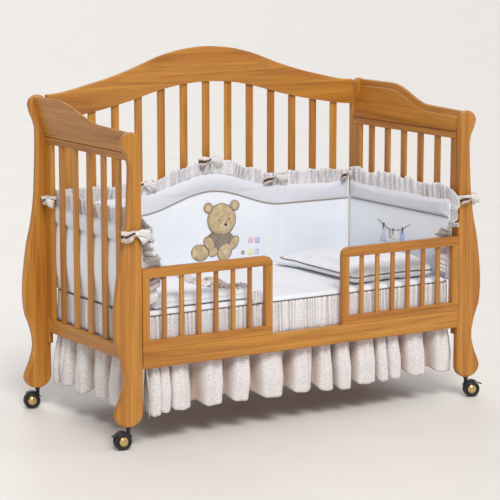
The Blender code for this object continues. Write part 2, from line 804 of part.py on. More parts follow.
def bed_skirt():
    """A sheet that lies on the base, with a valance on each side and slits at the corners."""
    half = HALF - SKIRT_CLEAR
    front = FRONT + RAIL_THICKNESS + SKIRT_CLEAR
    rear = REAR_FACE - SKIRT_CLEAR
    low = BASE_TOP + GAP
    high = low + SKIRT_SHEET
    sheet = cube_mesh("bed_skirt", (-half, front, low), (half, rear, high))
    skirt = add_object("bed_skirt", sheet, PRINT, PARTS)
    top = high - SKIRT_LAP
    end = half - SKIRT_INSET
    wall = SKIRT_THICKNESS
    slit = LUG + BASE_CLEAR
    walls = (
        valance("valance_front", (-end, front, SKIRT_BOTTOM), (end, front + wall, top)),
        valance("valance_rear", (-end, rear - wall, SKIRT_BOTTOM), (end, rear, top)),
        valance("valance_left", (-half, front + slit, SKIRT_BOTTOM), (wall - half, rear - slit, top)),
        valance("valance_right", (half - wall, front + slit, SKIRT_BOTTOM), (half, rear - slit, top)),
    )
    for part in walls:
        combine(skirt, part, "UNION")


def bumper_top(x):
    """Top edge of the rear bumper, which arches over its middle panel."""
    share = min(abs(x) / BUMPER_ARCH_HALF, 1.0)
    return BUMPER_TOP + BUMPER_ARCH * (1 + math.cos(math.pi * share)) / 2


def bumpers():
    bottom = MATTRESS_TOP + GAP
    front = FRONT + RAIL_THICKNESS + GAP
    rear = REAR_FACE - GAP
    for label, side in SIDES.items():
        near, far = sorted((side * SIDE_BUMPER_FACE, side * (HALF - GAP)))
        block("bumper_" + label, (near, front, bottom), (far, rear, BUMPER_TOP), BUMPER_EDGE, COTTON)
    half = SIDE_BUMPER_FACE - GAP
    top = [(x, bumper_top(x)) for x in spread(half, -half, 33)]
    outline = [(half, bottom), *top, (-half, bottom)]
    middle = (0, rear - BUMPER_THICKNESS / 2, 0)
    plate("bumper_rear", outline, ALONG_X, middle, BUMPER_THICKNESS, REAR_BUMPER_EDGE, COTTON)


def bedding():
    front = FRONT + RAIL_THICKNESS + MATTRESS_CLEAR
    rear = REAR_FACE - MATTRESS_CLEAR
    half = HALF - MATTRESS_CLEAR
    bottom = BASE_TOP + GAP + SKIRT_SHEET + GAP
    block("mattress", (-half, front, bottom), (half, rear, MATTRESS_TOP), MATTRESS_EDGE, COTTON)
    low = MATTRESS_TOP + GAP
    reach = SIDE_BUMPER_FACE - BEDDING_SIDE_CLEAR
    near = (reach - PILLOW_LENGTH, front, low)
    far = (reach, REAR_BUMPER_FACE - PILLOW_REAR_CLEAR, low + PILLOW_HEIGHT)
    block("pillow", near, far, PILLOW_EDGE, COTTON)
    near = (-reach, front, low)
    far = (DUVET_LENGTH - reach, REAR_BUMPER_FACE - DUVET_REAR_CLEAR, low + DUVET_HEIGHT)
    block("duvet", near, far, DUVET_EDGE, COTTON)
    bumpers()
    bed_skirt()


clear_scene()
PARTS = new_collection("baby_crib")
TOOLS = new_collection("tools")
WOOD = material("honey_wood", (0.56, 0.27, 0.075), 0.38)
PLY = material("pale_wood", (0.62, 0.45, 0.27), 0.6)
BLACK = material("black_plastic", (0.012, 0.012, 0.013), 0.35)
COTTON = material("white_cotton", (0.86, 0.87, 0.90), 0.9)
PRINT = material("printed_cotton", (0.80, 0.77, 0.74), 0.9)

posts()
front_rail()
rear_panel()
for side_label, side_sign in SIDES.items():
    guard_rail(side_label, side_sign)
    end_panel(side_label, side_sign)
mattress_base()
casters()
bedding()
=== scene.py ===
"""Looks of the baby crib: wood, casters and bedding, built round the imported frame."""

import json
import math

import bmesh
import bpy
import numpy as np
from mathutils import Matrix, Vector, noise
from mathutils.bvhtree import BVHTree


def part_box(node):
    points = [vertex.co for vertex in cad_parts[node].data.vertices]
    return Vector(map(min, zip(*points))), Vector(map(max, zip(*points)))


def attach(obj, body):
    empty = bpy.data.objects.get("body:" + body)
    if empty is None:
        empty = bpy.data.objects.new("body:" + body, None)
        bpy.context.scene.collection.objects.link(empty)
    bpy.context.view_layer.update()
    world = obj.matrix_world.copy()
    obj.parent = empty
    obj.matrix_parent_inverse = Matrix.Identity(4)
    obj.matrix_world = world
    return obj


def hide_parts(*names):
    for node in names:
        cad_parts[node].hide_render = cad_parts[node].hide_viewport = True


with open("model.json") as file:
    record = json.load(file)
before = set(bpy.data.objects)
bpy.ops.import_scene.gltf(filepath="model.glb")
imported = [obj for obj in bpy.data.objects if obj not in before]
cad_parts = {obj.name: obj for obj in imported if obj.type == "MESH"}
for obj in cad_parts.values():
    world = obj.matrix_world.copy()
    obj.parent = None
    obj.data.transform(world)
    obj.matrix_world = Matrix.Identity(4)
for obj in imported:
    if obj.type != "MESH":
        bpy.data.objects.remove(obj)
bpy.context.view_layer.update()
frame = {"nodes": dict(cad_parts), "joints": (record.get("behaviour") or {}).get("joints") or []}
NODES = frame["nodes"]
TAU = 2 * math.pi
SIDES = {"left": -1, "right": 1}


# Materials

class Shader:
    """A material's node tree, with short calls to add and link nodes."""

    def __init__(self, name):
        self.mat = bpy.data.materials.new(name)
        self.mat.use_nodes = True
        self.tree = self.mat.node_tree
        self.bsdf = self.tree.nodes["Principled BSDF"]
        self.coords = self.tree.nodes.new("ShaderNodeTexCoord").outputs["Object"]

    def add(self, kind, **settings):
        node = self.tree.nodes.new("ShaderNode" + kind)
        for key, value in settings.items():
            setattr(node, key, value)
        return node

    def feed(self, socket, value):
        if isinstance(value, bpy.types.NodeSocket):
            self.tree.links.new(value, socket)
        else:
            socket.default_value = value

    def fill(self, node, **values):
        for key, value in values.items():
            node.inputs[key].default_value = value

    def axes(self, source=None):
        split = self.add("SeparateXYZ")
        self.feed(split.inputs[0], source or self.coords)
        return split.outputs

    def math(self, operation, a, b=0.0, c=0.0):
        node = self.add("Math", operation=operation)
        for socket, value in zip(node.inputs, (a, b, c)):
            self.feed(socket, value)
        return node.outputs[0]

    def mapped(self, scale, location=(0, 0, 0)):
        node = self.add("Mapping")
        self.feed(node.inputs["Vector"], self.coords)
        self.fill(node, Scale=scale, Location=location)
        return node.outputs[0]

    def noise(self, vector, scale, detail=3.0, roughness=0.5, distortion=0.0):
        node = self.add("TexNoise")
        self.feed(node.inputs["Vector"], vector)
        self.fill(node, Scale=scale, Detail=detail, Roughness=roughness, Distortion=distortion)
        return node.outputs["Fac"]

    def ramp(self, value, *stops):
        node = self.add("ValToRGB")
        self.feed(node.inputs[0], value)
        points = node.color_ramp.elements
        while len(points) < len(stops):
            points.new(0.5)
        for point, (place, colour) in zip(points, stops):
            point.position = place
            point.color = (*colour, 1.0) if isinstance(colour, tuple) else (colour, colour, colour, 1.0)
        return node.outputs[0]

    def mix(self, factor, a, b, blend="MIX"):
        node = self.add("Mix", data_type="RGBA", blend_type=blend)
        self.feed(node.inputs["Factor"], factor)
        for key, value in (("A", a), ("B", b)):
            socket = next(s for s in node.inputs if s.name == key and s.type == "RGBA")
            self.feed(socket, (*value, 1.0) if isinstance(value, tuple) else value)
        return next(s for s in node.outputs if s.type == "RGBA")

    def bump(self, height, strength, distance, normal=None):
        node = self.add("Bump")
        self.feed(node.inputs["Height"], height)
        self.fill(node, Strength=strength, Distance=distance)
        if normal is not None:
            self.feed(node.inputs["Normal"], normal)
        return node.outputs[0]

    def set(self, **values):
        for key, value in values.items():
            self.feed(self.bsdf.inputs[key.replace("_", " ")], value)
        return self.mat


ACROSS_SCALE = 34.0         # grain streaks across a timber, per metre
ALONG_SCALE = 1.1           # and along it
GUARD_UPRIGHTS = (0.336, 0.532)  # heights between which a guard's slats stand


def grain_scale(axis):
    return tuple(ALONG_SCALE if axis == i else ACROSS_SCALE for i in range(3))


def grain(s, axis, shift):
    """Colour, height and gloss patterns of straight-grained timber along one axis."""
    field = s.mapped(scale=grain_scale(axis), location=shift)
    waver = s.mapped(scale=tuple(2.0 if axis == i else 9.0 for i in range(3)), location=shift)
    flames = s.noise(field, 1.0, detail=4.0, roughness=0.55, distortion=0.6)
    streaks = s.noise(field, 4.5, detail=2.0, roughness=0.6)
    cloud = s.noise(waver, 1.0, detail=2.0)
    colour = s.ramp(
        flames,
        (0.20, (0.260, 0.082, 0.008)),
        (0.40, (0.420, 0.158, 0.018)),
        (0.58, (0.545, 0.235, 0.032)),
        (0.80, (0.680, 0.345, 0.072)),
    )
    dark_lines = s.ramp(streaks, (0.30, 0.0), (0.50, 1.0))
    colour = s.mix(0.30, colour, dark_lines, blend="MULTIPLY")
    colour = s.mix(s.math("MULTIPLY", cloud, 0.35), colour, (0.42, 0.150, 0.018))
    return colour, s.math("MULTIPLY", streaks, flames)


def wood(name, axis, shift=(0.0, 0.0, 0.0)):
    s = Shader(name)
    colour, height = grain(s, axis, shift)
    roughness = s.ramp(height, (0.1, 0.46), (0.5, 0.34))
    normal = s.bump(height, 0.12, 0.0006)
    return s.set(Base_Color=colour, Roughness=roughness, Normal=normal, Coat_Weight=0.06, Coat_Roughness=0.25)


def framed_wood(name, low, high):
    """Timber of a glued frame: its rails run along X, and what is between two heights stands upright."""
    s = Shader(name)
    level, _ = grain(s, 0, (0.3, 0.0, 0.0))
    upright, height = grain(s, 2, (0.0, 0.7, 0.0))
    level_at = s.axes()[2]
    between = s.math("MULTIPLY", s.math("GREATER_THAN", level_at, low), s.math("LESS_THAN", level_at, high))
    colour = s.mix(between, level, upright)
    normal = s.bump(height, 0.12, 0.0006)
    return s.set(Base_Color=colour, Roughness=0.4, Normal=normal, Coat_Weight=0.06, Coat_Roughness=0.25)


def dress(node, mat):
    obj = NODES[node]
    obj.data.materials.clear()
    obj.data.materials.append(mat)


def dress_timber():
    along_x = wood("wood_along_x", 0)
    along_y = wood("wood_along_y", 1)
    upright = [wood(f"wood_upright_{i}", 2, (0.37 * i, 0.11 * i, 1.9 * i)) for i in range(3)]
    guard = framed_wood("wood_guard", *GUARD_UPRIGHTS)
    plain = wood("wood_base", 0, (4.0, 0.0, 0.0))
    turn = 0
    for node in NODES:
        if node.startswith("guard_rail"):
            dress(node, guard)
        elif node.startswith("post") or "slat" in node or "stile" in node:
            dress(node, upright[turn % 3])
            turn += 1
        elif node in ("front_rail", "rear_top_rail", "rear_bottom_rail"):
            dress(node, along_x)
        elif node.startswith("end_"):
            dress(node, along_y)
        elif node == "mattress_base":
            dress(node, plain)


# Cloth helpers

def spline(a, b, c, d, f):
    """A smooth curve through b and c, at the share f between them."""
    return 0.5 * (2 * b + (c - a) * f + (2 * a - 5 * b + 4 * c - d) * f**2 + (3 * b - a - 3 * c + d) * f**3)


def wander(count, knots, seed, low=-1.0, high=1.0):
    """Smooth irregular values along a strip."""
    values = np.random.default_rng(seed).uniform(low, high, knots + 4)
    at = np.linspace(1.0, knots + 1.0, count)
    start = np.clip(at.astype(int), 1, knots + 1)
    return spline(*(values[start + shift] for shift in (-1, 0, 1, 2)), at - start)


def unit(vectors):
    return vectors / np.linalg.norm(vectors, axis=-1, keepdims=True)


def along(points, step):
    """Evenly spaced points along a polyline."""
    points = np.asarray(points, float)
    at = np.concatenate(([0.0], np.cumsum(np.linalg.norm(np.diff(points, axis=0), axis=1))))
    wanted = np.linspace(0.0, at[-1], max(int(round(at[-1] / step)), 2) + 1)
    return np.stack([np.interp(wanted, at, points[:, k]) for k in range(3)], axis=1)


def run_length(row):
    return float(np.linalg.norm(np.diff(row, axis=0), axis=1).sum())


def sheet_mesh(name, grid):
    """A grid of points as a mesh, with its own measures across the cloth in a UV map."""
    rows, cols = grid.shape[:2]
    index = np.arange(rows * cols).reshape(rows, cols)
    corners = (index[:-1, :-1], index[:-1, 1:], index[1:, 1:], index[1:, :-1])
    faces = np.stack([c.ravel() for c in corners], axis=1)
    mesh = bpy.data.meshes.new(name)
    mesh.from_pydata(grid.reshape(-1, 3).tolist(), [], faces.tolist())
    across = np.linalg.norm(np.diff(grid[-1], axis=0), axis=1)
    down = np.linalg.norm(np.diff(grid, axis=0), axis=2).mean(axis=1)
    u = np.broadcast_to(np.concatenate(([0.0], np.cumsum(across)))[None, :], (rows, cols))
    v = np.broadcast_to(np.concatenate(([0.0], np.cumsum(down)))[:, None], (rows, cols))
    layer = mesh.uv_layers.new(name="cloth")
    layer.data.foreach_set("uv", np.stack((u, v), axis=2).reshape(-1, 2)[faces.ravel()].ravel())
    mesh.shade_smooth()
    return mesh


def piece(name, mesh, *mats, body="root"):
    obj = bpy.data.objects.new(name, mesh)
    bpy.context.scene.collection.objects.link(obj)
    for mat in mats:
        mesh.materials.append(mat)
    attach(obj, body)
    return obj


def mesh_from(bm, name, outward=True, sharp=None):
    """Turns a bmesh into a smooth mesh. An edge steeper than sharp, in degrees, stays sharp."""
    if outward:
        bmesh.ops.recalc_face_normals(bm, faces=bm.faces)
    mesh = bpy.data.meshes.new(name)
    bm.to_mesh(mesh)
    bm.free()
    mesh.shade_smooth()
    if sharp is not None:
        mesh.set_sharp_from_angle(angle=math.radians(sharp))
    return mesh


def skin(bm, rings, closed=False):
    """Faces between rings of vertices, and from the last ring to the first when closed."""
    for ring, following in zip(rings, rings[1:] + (rings[:1] if closed else [])):
        for k in range(len(ring)):
            j = (k + 1) % len(ring)
            bm.faces.new((ring[k], ring[j], following[j], following[k]))


def thicken(obj, thickness, offset):
    hem = obj.modifiers.new("cloth_thickness", "SOLIDIFY")
    hem.thickness = thickness
    hem.offset = offset
    return hem


def cloth_piece(name, grid, mat, thickness=0.0008, fold_shade=None):
    """A cloth with real thickness. Its last argument, from 0 to 1, is the painted shade inside its folds,
    stored on each point.
    """
    mesh = sheet_mesh(name, grid)
    if fold_shade is not None:
        shade = mesh.attributes.new("fold_shade", "FLOAT", "POINT")
        shade.data.foreach_set("value", fold_shade.astype(np.float32).ravel())
    obj = piece(name, mesh, mat)
    thicken(obj, thickness, 0.0)
    return obj


def strip_frame(path, drop, wave):
    """Of a strip that hangs from a path: its step, its number of folds, and its three directions."""
    length = run_length(path)
    tangent = unit(np.gradient(path, axis=0))
    drop = unit(np.broadcast_to(np.asarray(drop, float), path.shape))
    return length / (len(path) - 1), max(int(length / wave), 3), tangent, drop, unit(np.cross(drop, tangent))


def gathers(path, drop, height, wave, depth, seed, header=0.2, flare=0.0, rows=9, curl=0.42, ragged=0.03,
            vary=0.62):
    """Grid of a gathered strip: it leaves the path along drop, and its folds grow from there to the hem."""
    count = len(path)
    step, knots, tangent, drop, normal = strip_frame(path, drop, wave)
    phase = np.cumsum(TAU * step / (wave * np.maximum(1 + wander(count, knots, seed, -vary, vary), 0.3)))
    swell = np.maximum(wander(count, knots, seed + 1, 0.25, 1.45), 0.15)
    lean = wander(count, max(knots // 2, 2), seed + 2, -1.4, 1.4)
    uneven = 1 + ragged * wander(count, knots, seed + 3)
    grid, fold_shade = [], []
    for t in np.linspace(0.0, 1.0, rows):
        grow = depth * swell * (header + (1 - header) * t**0.8)
        turn = phase + lean * t
        # painted shade: how much the print is darkened inside each fold, strongest near the top
        fold_shade.append(np.clip(0.5 - 0.5 * np.cos(turn), 0, 1) * np.clip(swell, 0, 1) * (0.5 + 0.5 * (1 - t)))
        out = grow * np.cos(turn) + flare * t + 0.07 * wave * (1 - t) ** 2 * np.cos(3.3 * phase)
        side = curl * grow * np.sin(2 * turn)
        fall = height * t * (uneven - 0.02 * np.cos(turn))
        grid.append(path + drop * fall[:, None] + normal * out[:, None] + tangent * side[:, None])
    return np.array(grid), np.array(fold_shade)


def lobes(path, drop, height, wave, depth, seed, flare, rows=26):
    """Grid of a full valance: wide round folds with narrow recesses between them, growing to the hem."""
    count = len(path)
    step, knots, tangent, drop, normal = strip_frame(path, drop, wave)
    phase = np.cumsum(TAU * step / (wave * (1 + wander(count, knots, seed, -0.55, 0.55))))
    swell = wander(count, knots, seed + 1, 0.60, 1.15)
    lean = wander(count, knots, seed + 2, -1.0, 1.0)
    uneven = wander(count, knots, seed + 3)
    grid, fold_shade = [], []
    for t in np.linspace(0.0, 1.0, rows):
        turn = phase + lean * t
        full = np.tanh(1.5 * (np.cos(turn) + 0.22))
        grow = depth * swell * (0.22 + 0.78 * min(t / 0.65, 1.0) ** 0.8 - 0.16 * max(t - 0.70, 0.0) / 0.30)
        small = 0.075 * wave * (1 - t) ** 1.2 * np.cos(3.3 * phase + 0.8)
        crease = 0.11 * depth * np.sin(3.6 * phase + 2.6 * t) * t
        out = grow * full + flare * t + small + crease
        side = 0.36 * grow * np.sin(turn)
        fall = height * t * (1 + 0.045 * uneven) - 0.012 * t * (1 - full)
        grid.append(path + drop * fall[:, None] + normal * out[:, None] + tangent * side[:, None])
        # painted shade: how much the print is darkened in the narrow recesses between lobes, full from halfway
        # down
        inside = np.clip((0.75 - full) / 1.3 - 0.6 * crease / depth, 0, 1)
        fold_shade.append(inside * (0.5 + 0.5 * min(2 * t, 1.0)))
    return np.array(grid), np.array(fold_shade)


# Fabrics

def cloth_bump(s, weave_scale, crease=0.5):
    """Soft creases and a fine weave."""
    creases = s.noise(s.mapped(scale=(9, 9, 6)), 1.0, detail=3.0, distortion=0.8)
    threads = s.noise(s.coords, weave_scale, detail=1.0)
    normal = s.bump(creases, crease, 0.004)
    return s.bump(threads, 0.25, 0.0004, normal)


def white_cotton(name, colour=(0.83, 0.85, 0.89)):
    s = Shader(name)
    tint = s.noise(s.coords, 6.0, detail=2.0)
    shade = s.ramp(tint, (0.35, tuple(0.95 * c for c in colour)), (0.65, colour))
    return s.set(Base_Color=shade, Roughness=0.88, Sheen_Weight=0.25, Sheen_Roughness=0.5,
                 Normal=cloth_bump(s, 1400.0, 0.35))


def stripes(s, per_metre):
    """Fine upright ribs on a panel that faces X or Y."""
    place = s.axes()
    run = s.math("ADD", place[0], place[1])
    wave = s.math("SINE", s.math("MULTIPLY", run, TAU * per_metre))
    return s.math("MULTIPLY_ADD", wave, 0.5, 0.5)


FOLD_SHADE_TINT = (0.60, 0.49, 0.41)    # painted shade: a printed cloth's colour is multiplied by this deep in its folds, where shade falls


def printed_cotton(name, ground, motif, second, share=0.2):
    """A small scattered print of dabs and dots, laid along the cloth itself."""
    s = Shader(name)
    cloth = s.add("UVMap", uv_map="cloth").outputs[0]
    warp = s.noise(cloth, 160.0, detail=1.0)
    offset = s.add("VectorMath", operation="MULTIPLY_ADD")
    s.feed(offset.inputs[0], warp)
    offset.inputs[1].default_value = (0.006, 0.006, 0.0)
    s.feed(offset.inputs[2], cloth)
    layers = []
    for scale, reach in ((130.0, 0.26), (210.0, 0.22)):
        cells = s.add("TexVoronoi", voronoi_dimensions="2D")
        s.feed(cells.inputs["Vector"], offset.outputs[0])
        cells.inputs["Scale"].default_value = scale
        layers.append(s.ramp(cells.outputs["Distance"], (reach, 1.0), (reach + 0.10, 0.0)))
    patch = s.noise(cloth, 30.0, detail=2.0)
    colour = s.mix(s.math("MULTIPLY", layers[0], 0.55), ground, motif)
    colour = s.mix(s.math("MULTIPLY", layers[1], share), colour, second)
    colour = s.mix(s.math("MULTIPLY", patch, 0.12), colour, motif)
    # Painted shade: the print is darkened deep in its folds, by the amount each cloth piece stores on its
    # points.
    inside = s.add("Attribute", attribute_name="fold_shade").outputs["Fac"]
    colour = s.mix(inside, colour, FOLD_SHADE_TINT, blend="MULTIPLY")
    threads = s.noise(cloth, 1600.0, detail=1.0)
    return s.set(Base_Color=colour, Roughness=0.9, Sheen_Weight=0.2, Normal=s.bump(threads, 0.3, 0.0004))


def striped_cotton(name, dark, light):
    """The ribbons' reverse, with a dark stripe along each edge."""
    s = Shader(name)
    across = s.axes(s.add("UVMap", uv_map="cloth").outputs[0])[1]
    wave = s.math("SINE", s.math("MULTIPLY", across, TAU * 60.0))
    colour = s.ramp(s.math("MULTIPLY_ADD", wave, 0.5, 0.5), (0.45, dark), (0.55, light))
    return s.set(Base_Color=colour, Roughness=0.85, Normal=s.bump(s.noise(s.coords, 1200.0), 0.3, 0.0003))


def cord_cotton(name, colour):
    s = Shader(name)
    twist = s.noise(s.mapped(scale=(500, 500, 500)), 1.0, detail=1.0)
    shade = s.ramp(twist, (0.3, tuple(0.7 * c for c in colour)), (0.7, colour))
    return s.set(Base_Color=shade, Roughness=0.8, Normal=s.bump(twist, 0.6, 0.0006))


def plush(name, colour, dark=0.72):
    s = Shader(name)
    fur = s.noise(s.coords, 260.0, detail=4.0, roughness=0.7, distortion=1.2)
    tufts = s.noise(s.coords, 60.0, detail=3.0)
    shade = s.mix(s.ramp(tufts, (0.40, 0.0), (0.62, 1.0)), colour, tuple(dark * c for c in colour))
    shade = s.mix(s.ramp(fur, (0.38, 0.55), (0.58, 0.0)), shade, tuple(0.45 * c for c in colour))
    return s.set(Base_Color=shade, Roughness=0.95, Sheen_Weight=0.6, Normal=s.bump(fur, 0.9, 0.0015))


# Padded pieces

def remeshed(name, mesh, voxel):
    """A copy of a closed mesh with even quads of one size."""
    obj = bpy.data.objects.new(name, mesh)
    bpy.context.scene.collection.objects.link(obj)
    remesh = obj.modifiers.new("even_quads", "REMESH")
    remesh.mode = "VOXEL"
    remesh.voxel_size = voxel
    return baked(obj, name)


def baked(obj, name):
    """The object's evaluated mesh on a plain object."""
    graph = bpy.context.evaluated_depsgraph_get()
    graph.update()
    mesh = bpy.data.meshes.new_from_object(obj.evaluated_get(graph))
    bpy.data.objects.remove(obj)
    mesh.name = name
    fresh = bpy.data.objects.new(name, mesh)
    bpy.context.scene.collection.objects.link(fresh)
    return fresh


def points_of(mesh):
    co = np.empty(len(mesh.vertices) * 3, np.float32)
    mesh.vertices.foreach_get("co", co)
    return co.reshape(-1, 3).astype(float)


def put_points(mesh, co):
    mesh.vertices.foreach_set("co", co.astype(np.float32).ravel())
    mesh.update()


SIM_FRAMES = 20
CLOTH = {"quality": 4, "mass": 0.3, "tension_stiffness": 12, "compression_stiffness": 12,
         "bending_stiffness": 0.4, "use_pressure": True}


def inflate(obj, pressure, cap, held=None):
    """Fills a cloth shell by simulation. held pins each point by 0 to 1, and none moves past cap."""
    start = points_of(obj.data)
    if held is not None:
        group = obj.vertex_groups.new(name="held")
        for index, weight in enumerate(held):
            if weight > 0.01:
                group.add([index], float(weight), "REPLACE")
    cloth = obj.modifiers.new("cloth", "CLOTH")
    for key, value in CLOTH.items():
        setattr(cloth.settings, key, value)
    cloth.settings.uniform_pressure_force = pressure
    cloth.settings.effector_weights.gravity = 0.0
    if held is not None:
        cloth.settings.vertex_group_mass = "held"
    cloth.point_cache.frame_start = 1
    cloth.point_cache.frame_end = SIM_FRAMES
    scene = bpy.context.scene
    for number in range(1, SIM_FRAMES + 1):
        scene.frame_set(number)
    graph = bpy.context.evaluated_depsgraph_get()
    end = points_of(obj.evaluated_get(graph).data)
    obj.modifiers.clear()
    obj.vertex_groups.clear()
    moved = end - start
    far = np.linalg.norm(moved, axis=1, keepdims=True)
    moved *= np.minimum(1.0, cap / np.maximum(far, 1e-9))
    put_points(obj.data, start + moved)
    scene.frame_set(1)


def shell_of(node, shrink):
    """A copy of a CAD solid's mesh, made smaller by shrink on each side."""
    low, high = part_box(node)
    middle = (low + high) / 2
    factors = [max(1 - 2 * shrink / (high[i] - low[i]), 0.2) for i in range(3)]
    mesh = NODES[node].data.copy()
    mesh.materials.clear()
    mesh.transform(
        Matrix.Translation(middle) @ Matrix.Diagonal((*factors, 1.0)) @ Matrix.Translation(-middle)
    )
    return mesh


def pad(name, node, shrink, voxel, pressure, cap, held=None, reshape=None):
    """A padded piece that swells from the shrunken CAD solid and stands for it."""
    obj = remeshed(name, shell_of(node, shrink), voxel)
    if reshape:
        put_points(obj.data, reshape(points_of(obj.data)))
    inflate(obj, pressure, cap, held(points_of(obj.data)) if held else None)
    return obj


def finish_pad(obj, mat, node=None, levels=1):
    obj.data.materials.clear()
    obj.data.materials.append(mat)
    obj.data.shade_smooth()
    if levels:
        smooth = obj.modifiers.new("smooth", "SUBSURF")
        smooth.levels = smooth.render_levels = levels
    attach(obj, "root")
    if node:
        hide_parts(node)


def tube(name, path, radius, mat, sides=8, cyclic=False):
    """A round cord along a path, as piping sewn into a seam."""
    path = np.asarray(path, float)
    if cyclic:
        tangent = unit(np.roll(path, -1, axis=0) - np.roll(path, 1, axis=0))
    else:
        tangent = unit(np.gradient(path, axis=0))
    guide = np.where(np.abs(tangent[:, 2:3]) > 0.9, [[1.0, 0.0, 0.0]], [[0.0, 0.0, 1.0]])
    side = unit(np.cross(tangent, guide))
    over = np.cross(side, tangent)
    bm = bmesh.new()
    rings = []
    for p, a, b in zip(path, side, over):
        rings.append([
            bm.verts.new(p + radius * (a * math.cos(TAU * k / sides) + b * math.sin(TAU * k / sides)))
            for k in range(sides)
        ])
    skin(bm, rings, cyclic)
    if not cyclic:
        bm.faces.new(rings[0][::-1])
        bm.faces.new(rings[-1])
    return piece(name, mesh_from(bm, name), mat)


# Bumpers

ARCH_HALF = 0.290           # half width of the rear bumper's arch
BAND = 0.0685               # ribbed band above the piping
PANEL_SEAM = 0.283          # upright seams of the rear bumper, from its middle
RUFFLE = {"header": 0.28, "rows": 9, "curl": 0.62, "ragged": 0.13}
FLAT_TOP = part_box("bumper_left")[1].z
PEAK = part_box("bumper_rear")[1].z


def bumper_edge(x):
    """Height of the rear bumper's top edge."""
    share = np.minimum(np.abs(x) / ARCH_HALF, 1.0)
    return FLAT_TOP + (PEAK - FLAT_TOP) * (1 + np.cos(math.pi * share)) / 2


def bumper_cotton(name, arched):
    """White cotton below the piping and ribbed cotton above it."""
    s = Shader(name)
    place = s.axes()
    level = FLAT_TOP - BAND
    if arched:
        share = s.math("MINIMUM", s.math("ABSOLUTE", s.math("DIVIDE", place[0], ARCH_HALF)), 1.0)
        rise = s.math("MULTIPLY_ADD", s.math("COSINE", s.math("MULTIPLY", share, math.pi)), 0.5, 0.5)
        level = s.math("MULTIPLY_ADD", rise, PEAK - FLAT_TOP, level)
    above = s.math("GREATER_THAN", place[2], level)
    ribs = stripes(s, 230.0)
    ribbed = s.ramp(ribs, (0.05, (0.62, 0.64, 0.70)), (0.6, (0.80, 0.81, 0.86)))
    tint = s.noise(s.coords, 6.0, detail=2.0)
    plain = s.ramp(tint, (0.35, (0.77, 0.80, 0.85)), (0.65, (0.82, 0.845, 0.89)))
    height = s.math("MULTIPLY", ribs, above)
    normal = s.bump(height, 0.6, 0.001, cloth_bump(s, 1400.0, 0.3))
    return s.set(Base_Color=s.mix(above, plain, ribbed), Roughness=0.88, Sheen_Weight=0.2, Normal=normal)


def surface_point(tree, start, direction, lift):
    """Where a ray meets a padded piece, raised by lift towards the ray's start."""
    hit = tree.ray_cast(Vector(start), Vector(direction))[0]
    return None if hit is None else hit - Vector(direction) * lift


def tree_of(obj):
    graph = bpy.context.evaluated_depsgraph_get()
    graph.update()
    return BVHTree.FromObject(obj, graph)


def crease(co, distance, depth, width, direction):
    """Sinks the points nearest to a seam."""
    return co + np.asarray(direction) * (depth * np.exp(-((distance / width) ** 2)))[:, None]


def tuck(co, node):
    """Pushes a bumper's lower edge down behind the mattress."""
    depth = np.clip((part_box(node)[0].z + 0.016 - co[:, 2]) / 0.012, 0, 1)
    co[:, 2] -= 0.016 * depth
    return co


def rear_bumper():
    low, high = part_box("bumper_rear")

    def held(co):
        piping = np.abs(co[:, 2] - (bumper_edge(co[:, 0]) - BAND)) < 0.006
        seam = np.abs(np.abs(co[:, 0]) - PANEL_SEAM) < 0.005
        base = co[:, 2] < low.z + 0.008
        return (piping | seam | base).astype(float)

    obj = pad("bumper_pad_rear", "bumper_rear", 0.004, 0.006, 4.0, 0.008, held)
    co = points_of(obj.data)
    front = co[:, 1] < (low.y + high.y) / 2
    seam = crease(co, np.abs(co[:, 0]) - PANEL_SEAM, 0.0022, 0.004, (0, 1, 0))
    co[front] = seam[front]
    put_points(obj.data, tuck(co, "bumper_rear"))
    finish_pad(obj, bumper_cotton("bumper_cotton_rear", True), "bumper_rear")
    return obj


def side_bumper(label, mat):
    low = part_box("bumper_" + label)[0]

    def held(co):
        piping = np.abs(co[:, 2] - (FLAT_TOP - BAND)) < 0.006
        base = co[:, 2] < low.z + 0.008
        return (piping | base).astype(float)

    obj = pad("bumper_pad_" + label, "bumper_" + label, 0.004, 0.006, 4.0, 0.008, held)
    put_points(obj.data, tuck(points_of(obj.data), "bumper_" + label))
    finish_pad(obj, mat, "bumper_" + label)
    return obj


def piping_on(obj, name, starts, direction, mat, radius=0.0022):
    tree = tree_of(obj)
    points = [surface_point(tree, start, direction, 0.4 * radius) for start in starts]
    tube(name, [p for p in points if p is not None], radius, mat)


def rear_ruffle_path():
    """Along the rear bumper's top edge, from left to right."""
    low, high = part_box("bumper_rear")
    x = np.linspace(low.x + 0.004, high.x - 0.004, 300)
    line = np.stack((x, np.full_like(x, (low.y + high.y) / 2), bumper_edge(x) - 0.010), axis=1)
    return along(line, 0.0024)


def side_ruffle(side, label):
    """Path and direction of the ruffle along a side bumper's top edge and down its front end."""
    low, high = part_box("bumper_" + label)
    inner = high.x if side < 0 else low.x
    middle = (low.x + high.x) / 2
    top, front, turn = FLAT_TOP - 0.018, low.y + 0.008, 0.020
    line = [(middle, high.y - 0.004, top), (middle, front + turn, top)]
    for k in range(1, 9):
        a = math.pi / 2 * k / 8
        line.append((middle, front + turn * (1 - math.sin(a)), top - turn * (1 - math.cos(a))))
    line.append((0.4 * middle + 0.6 * inner, front + 0.002, 0.585))
    line.append((inner + side * 0.003, front + 0.004, 0.560))
    line.append((inner + side * 0.003, front + 0.006, low.z + 0.014))
    path = along(line, 0.0024)
    down = np.clip((front + turn - path[:, 1]) / turn, 0.0, 1.0)
    low_part = np.clip((0.600 - path[:, 2]) / 0.030, 0.0, 1.0)
    inward = -side * (0.10 + 0.10 * down + 0.8 * low_part)
    forward = -down * (1 - 0.95 * low_part)
    up = 1.0 - 0.97 * down
    return path, np.stack((inward * down, forward, up), axis=1)


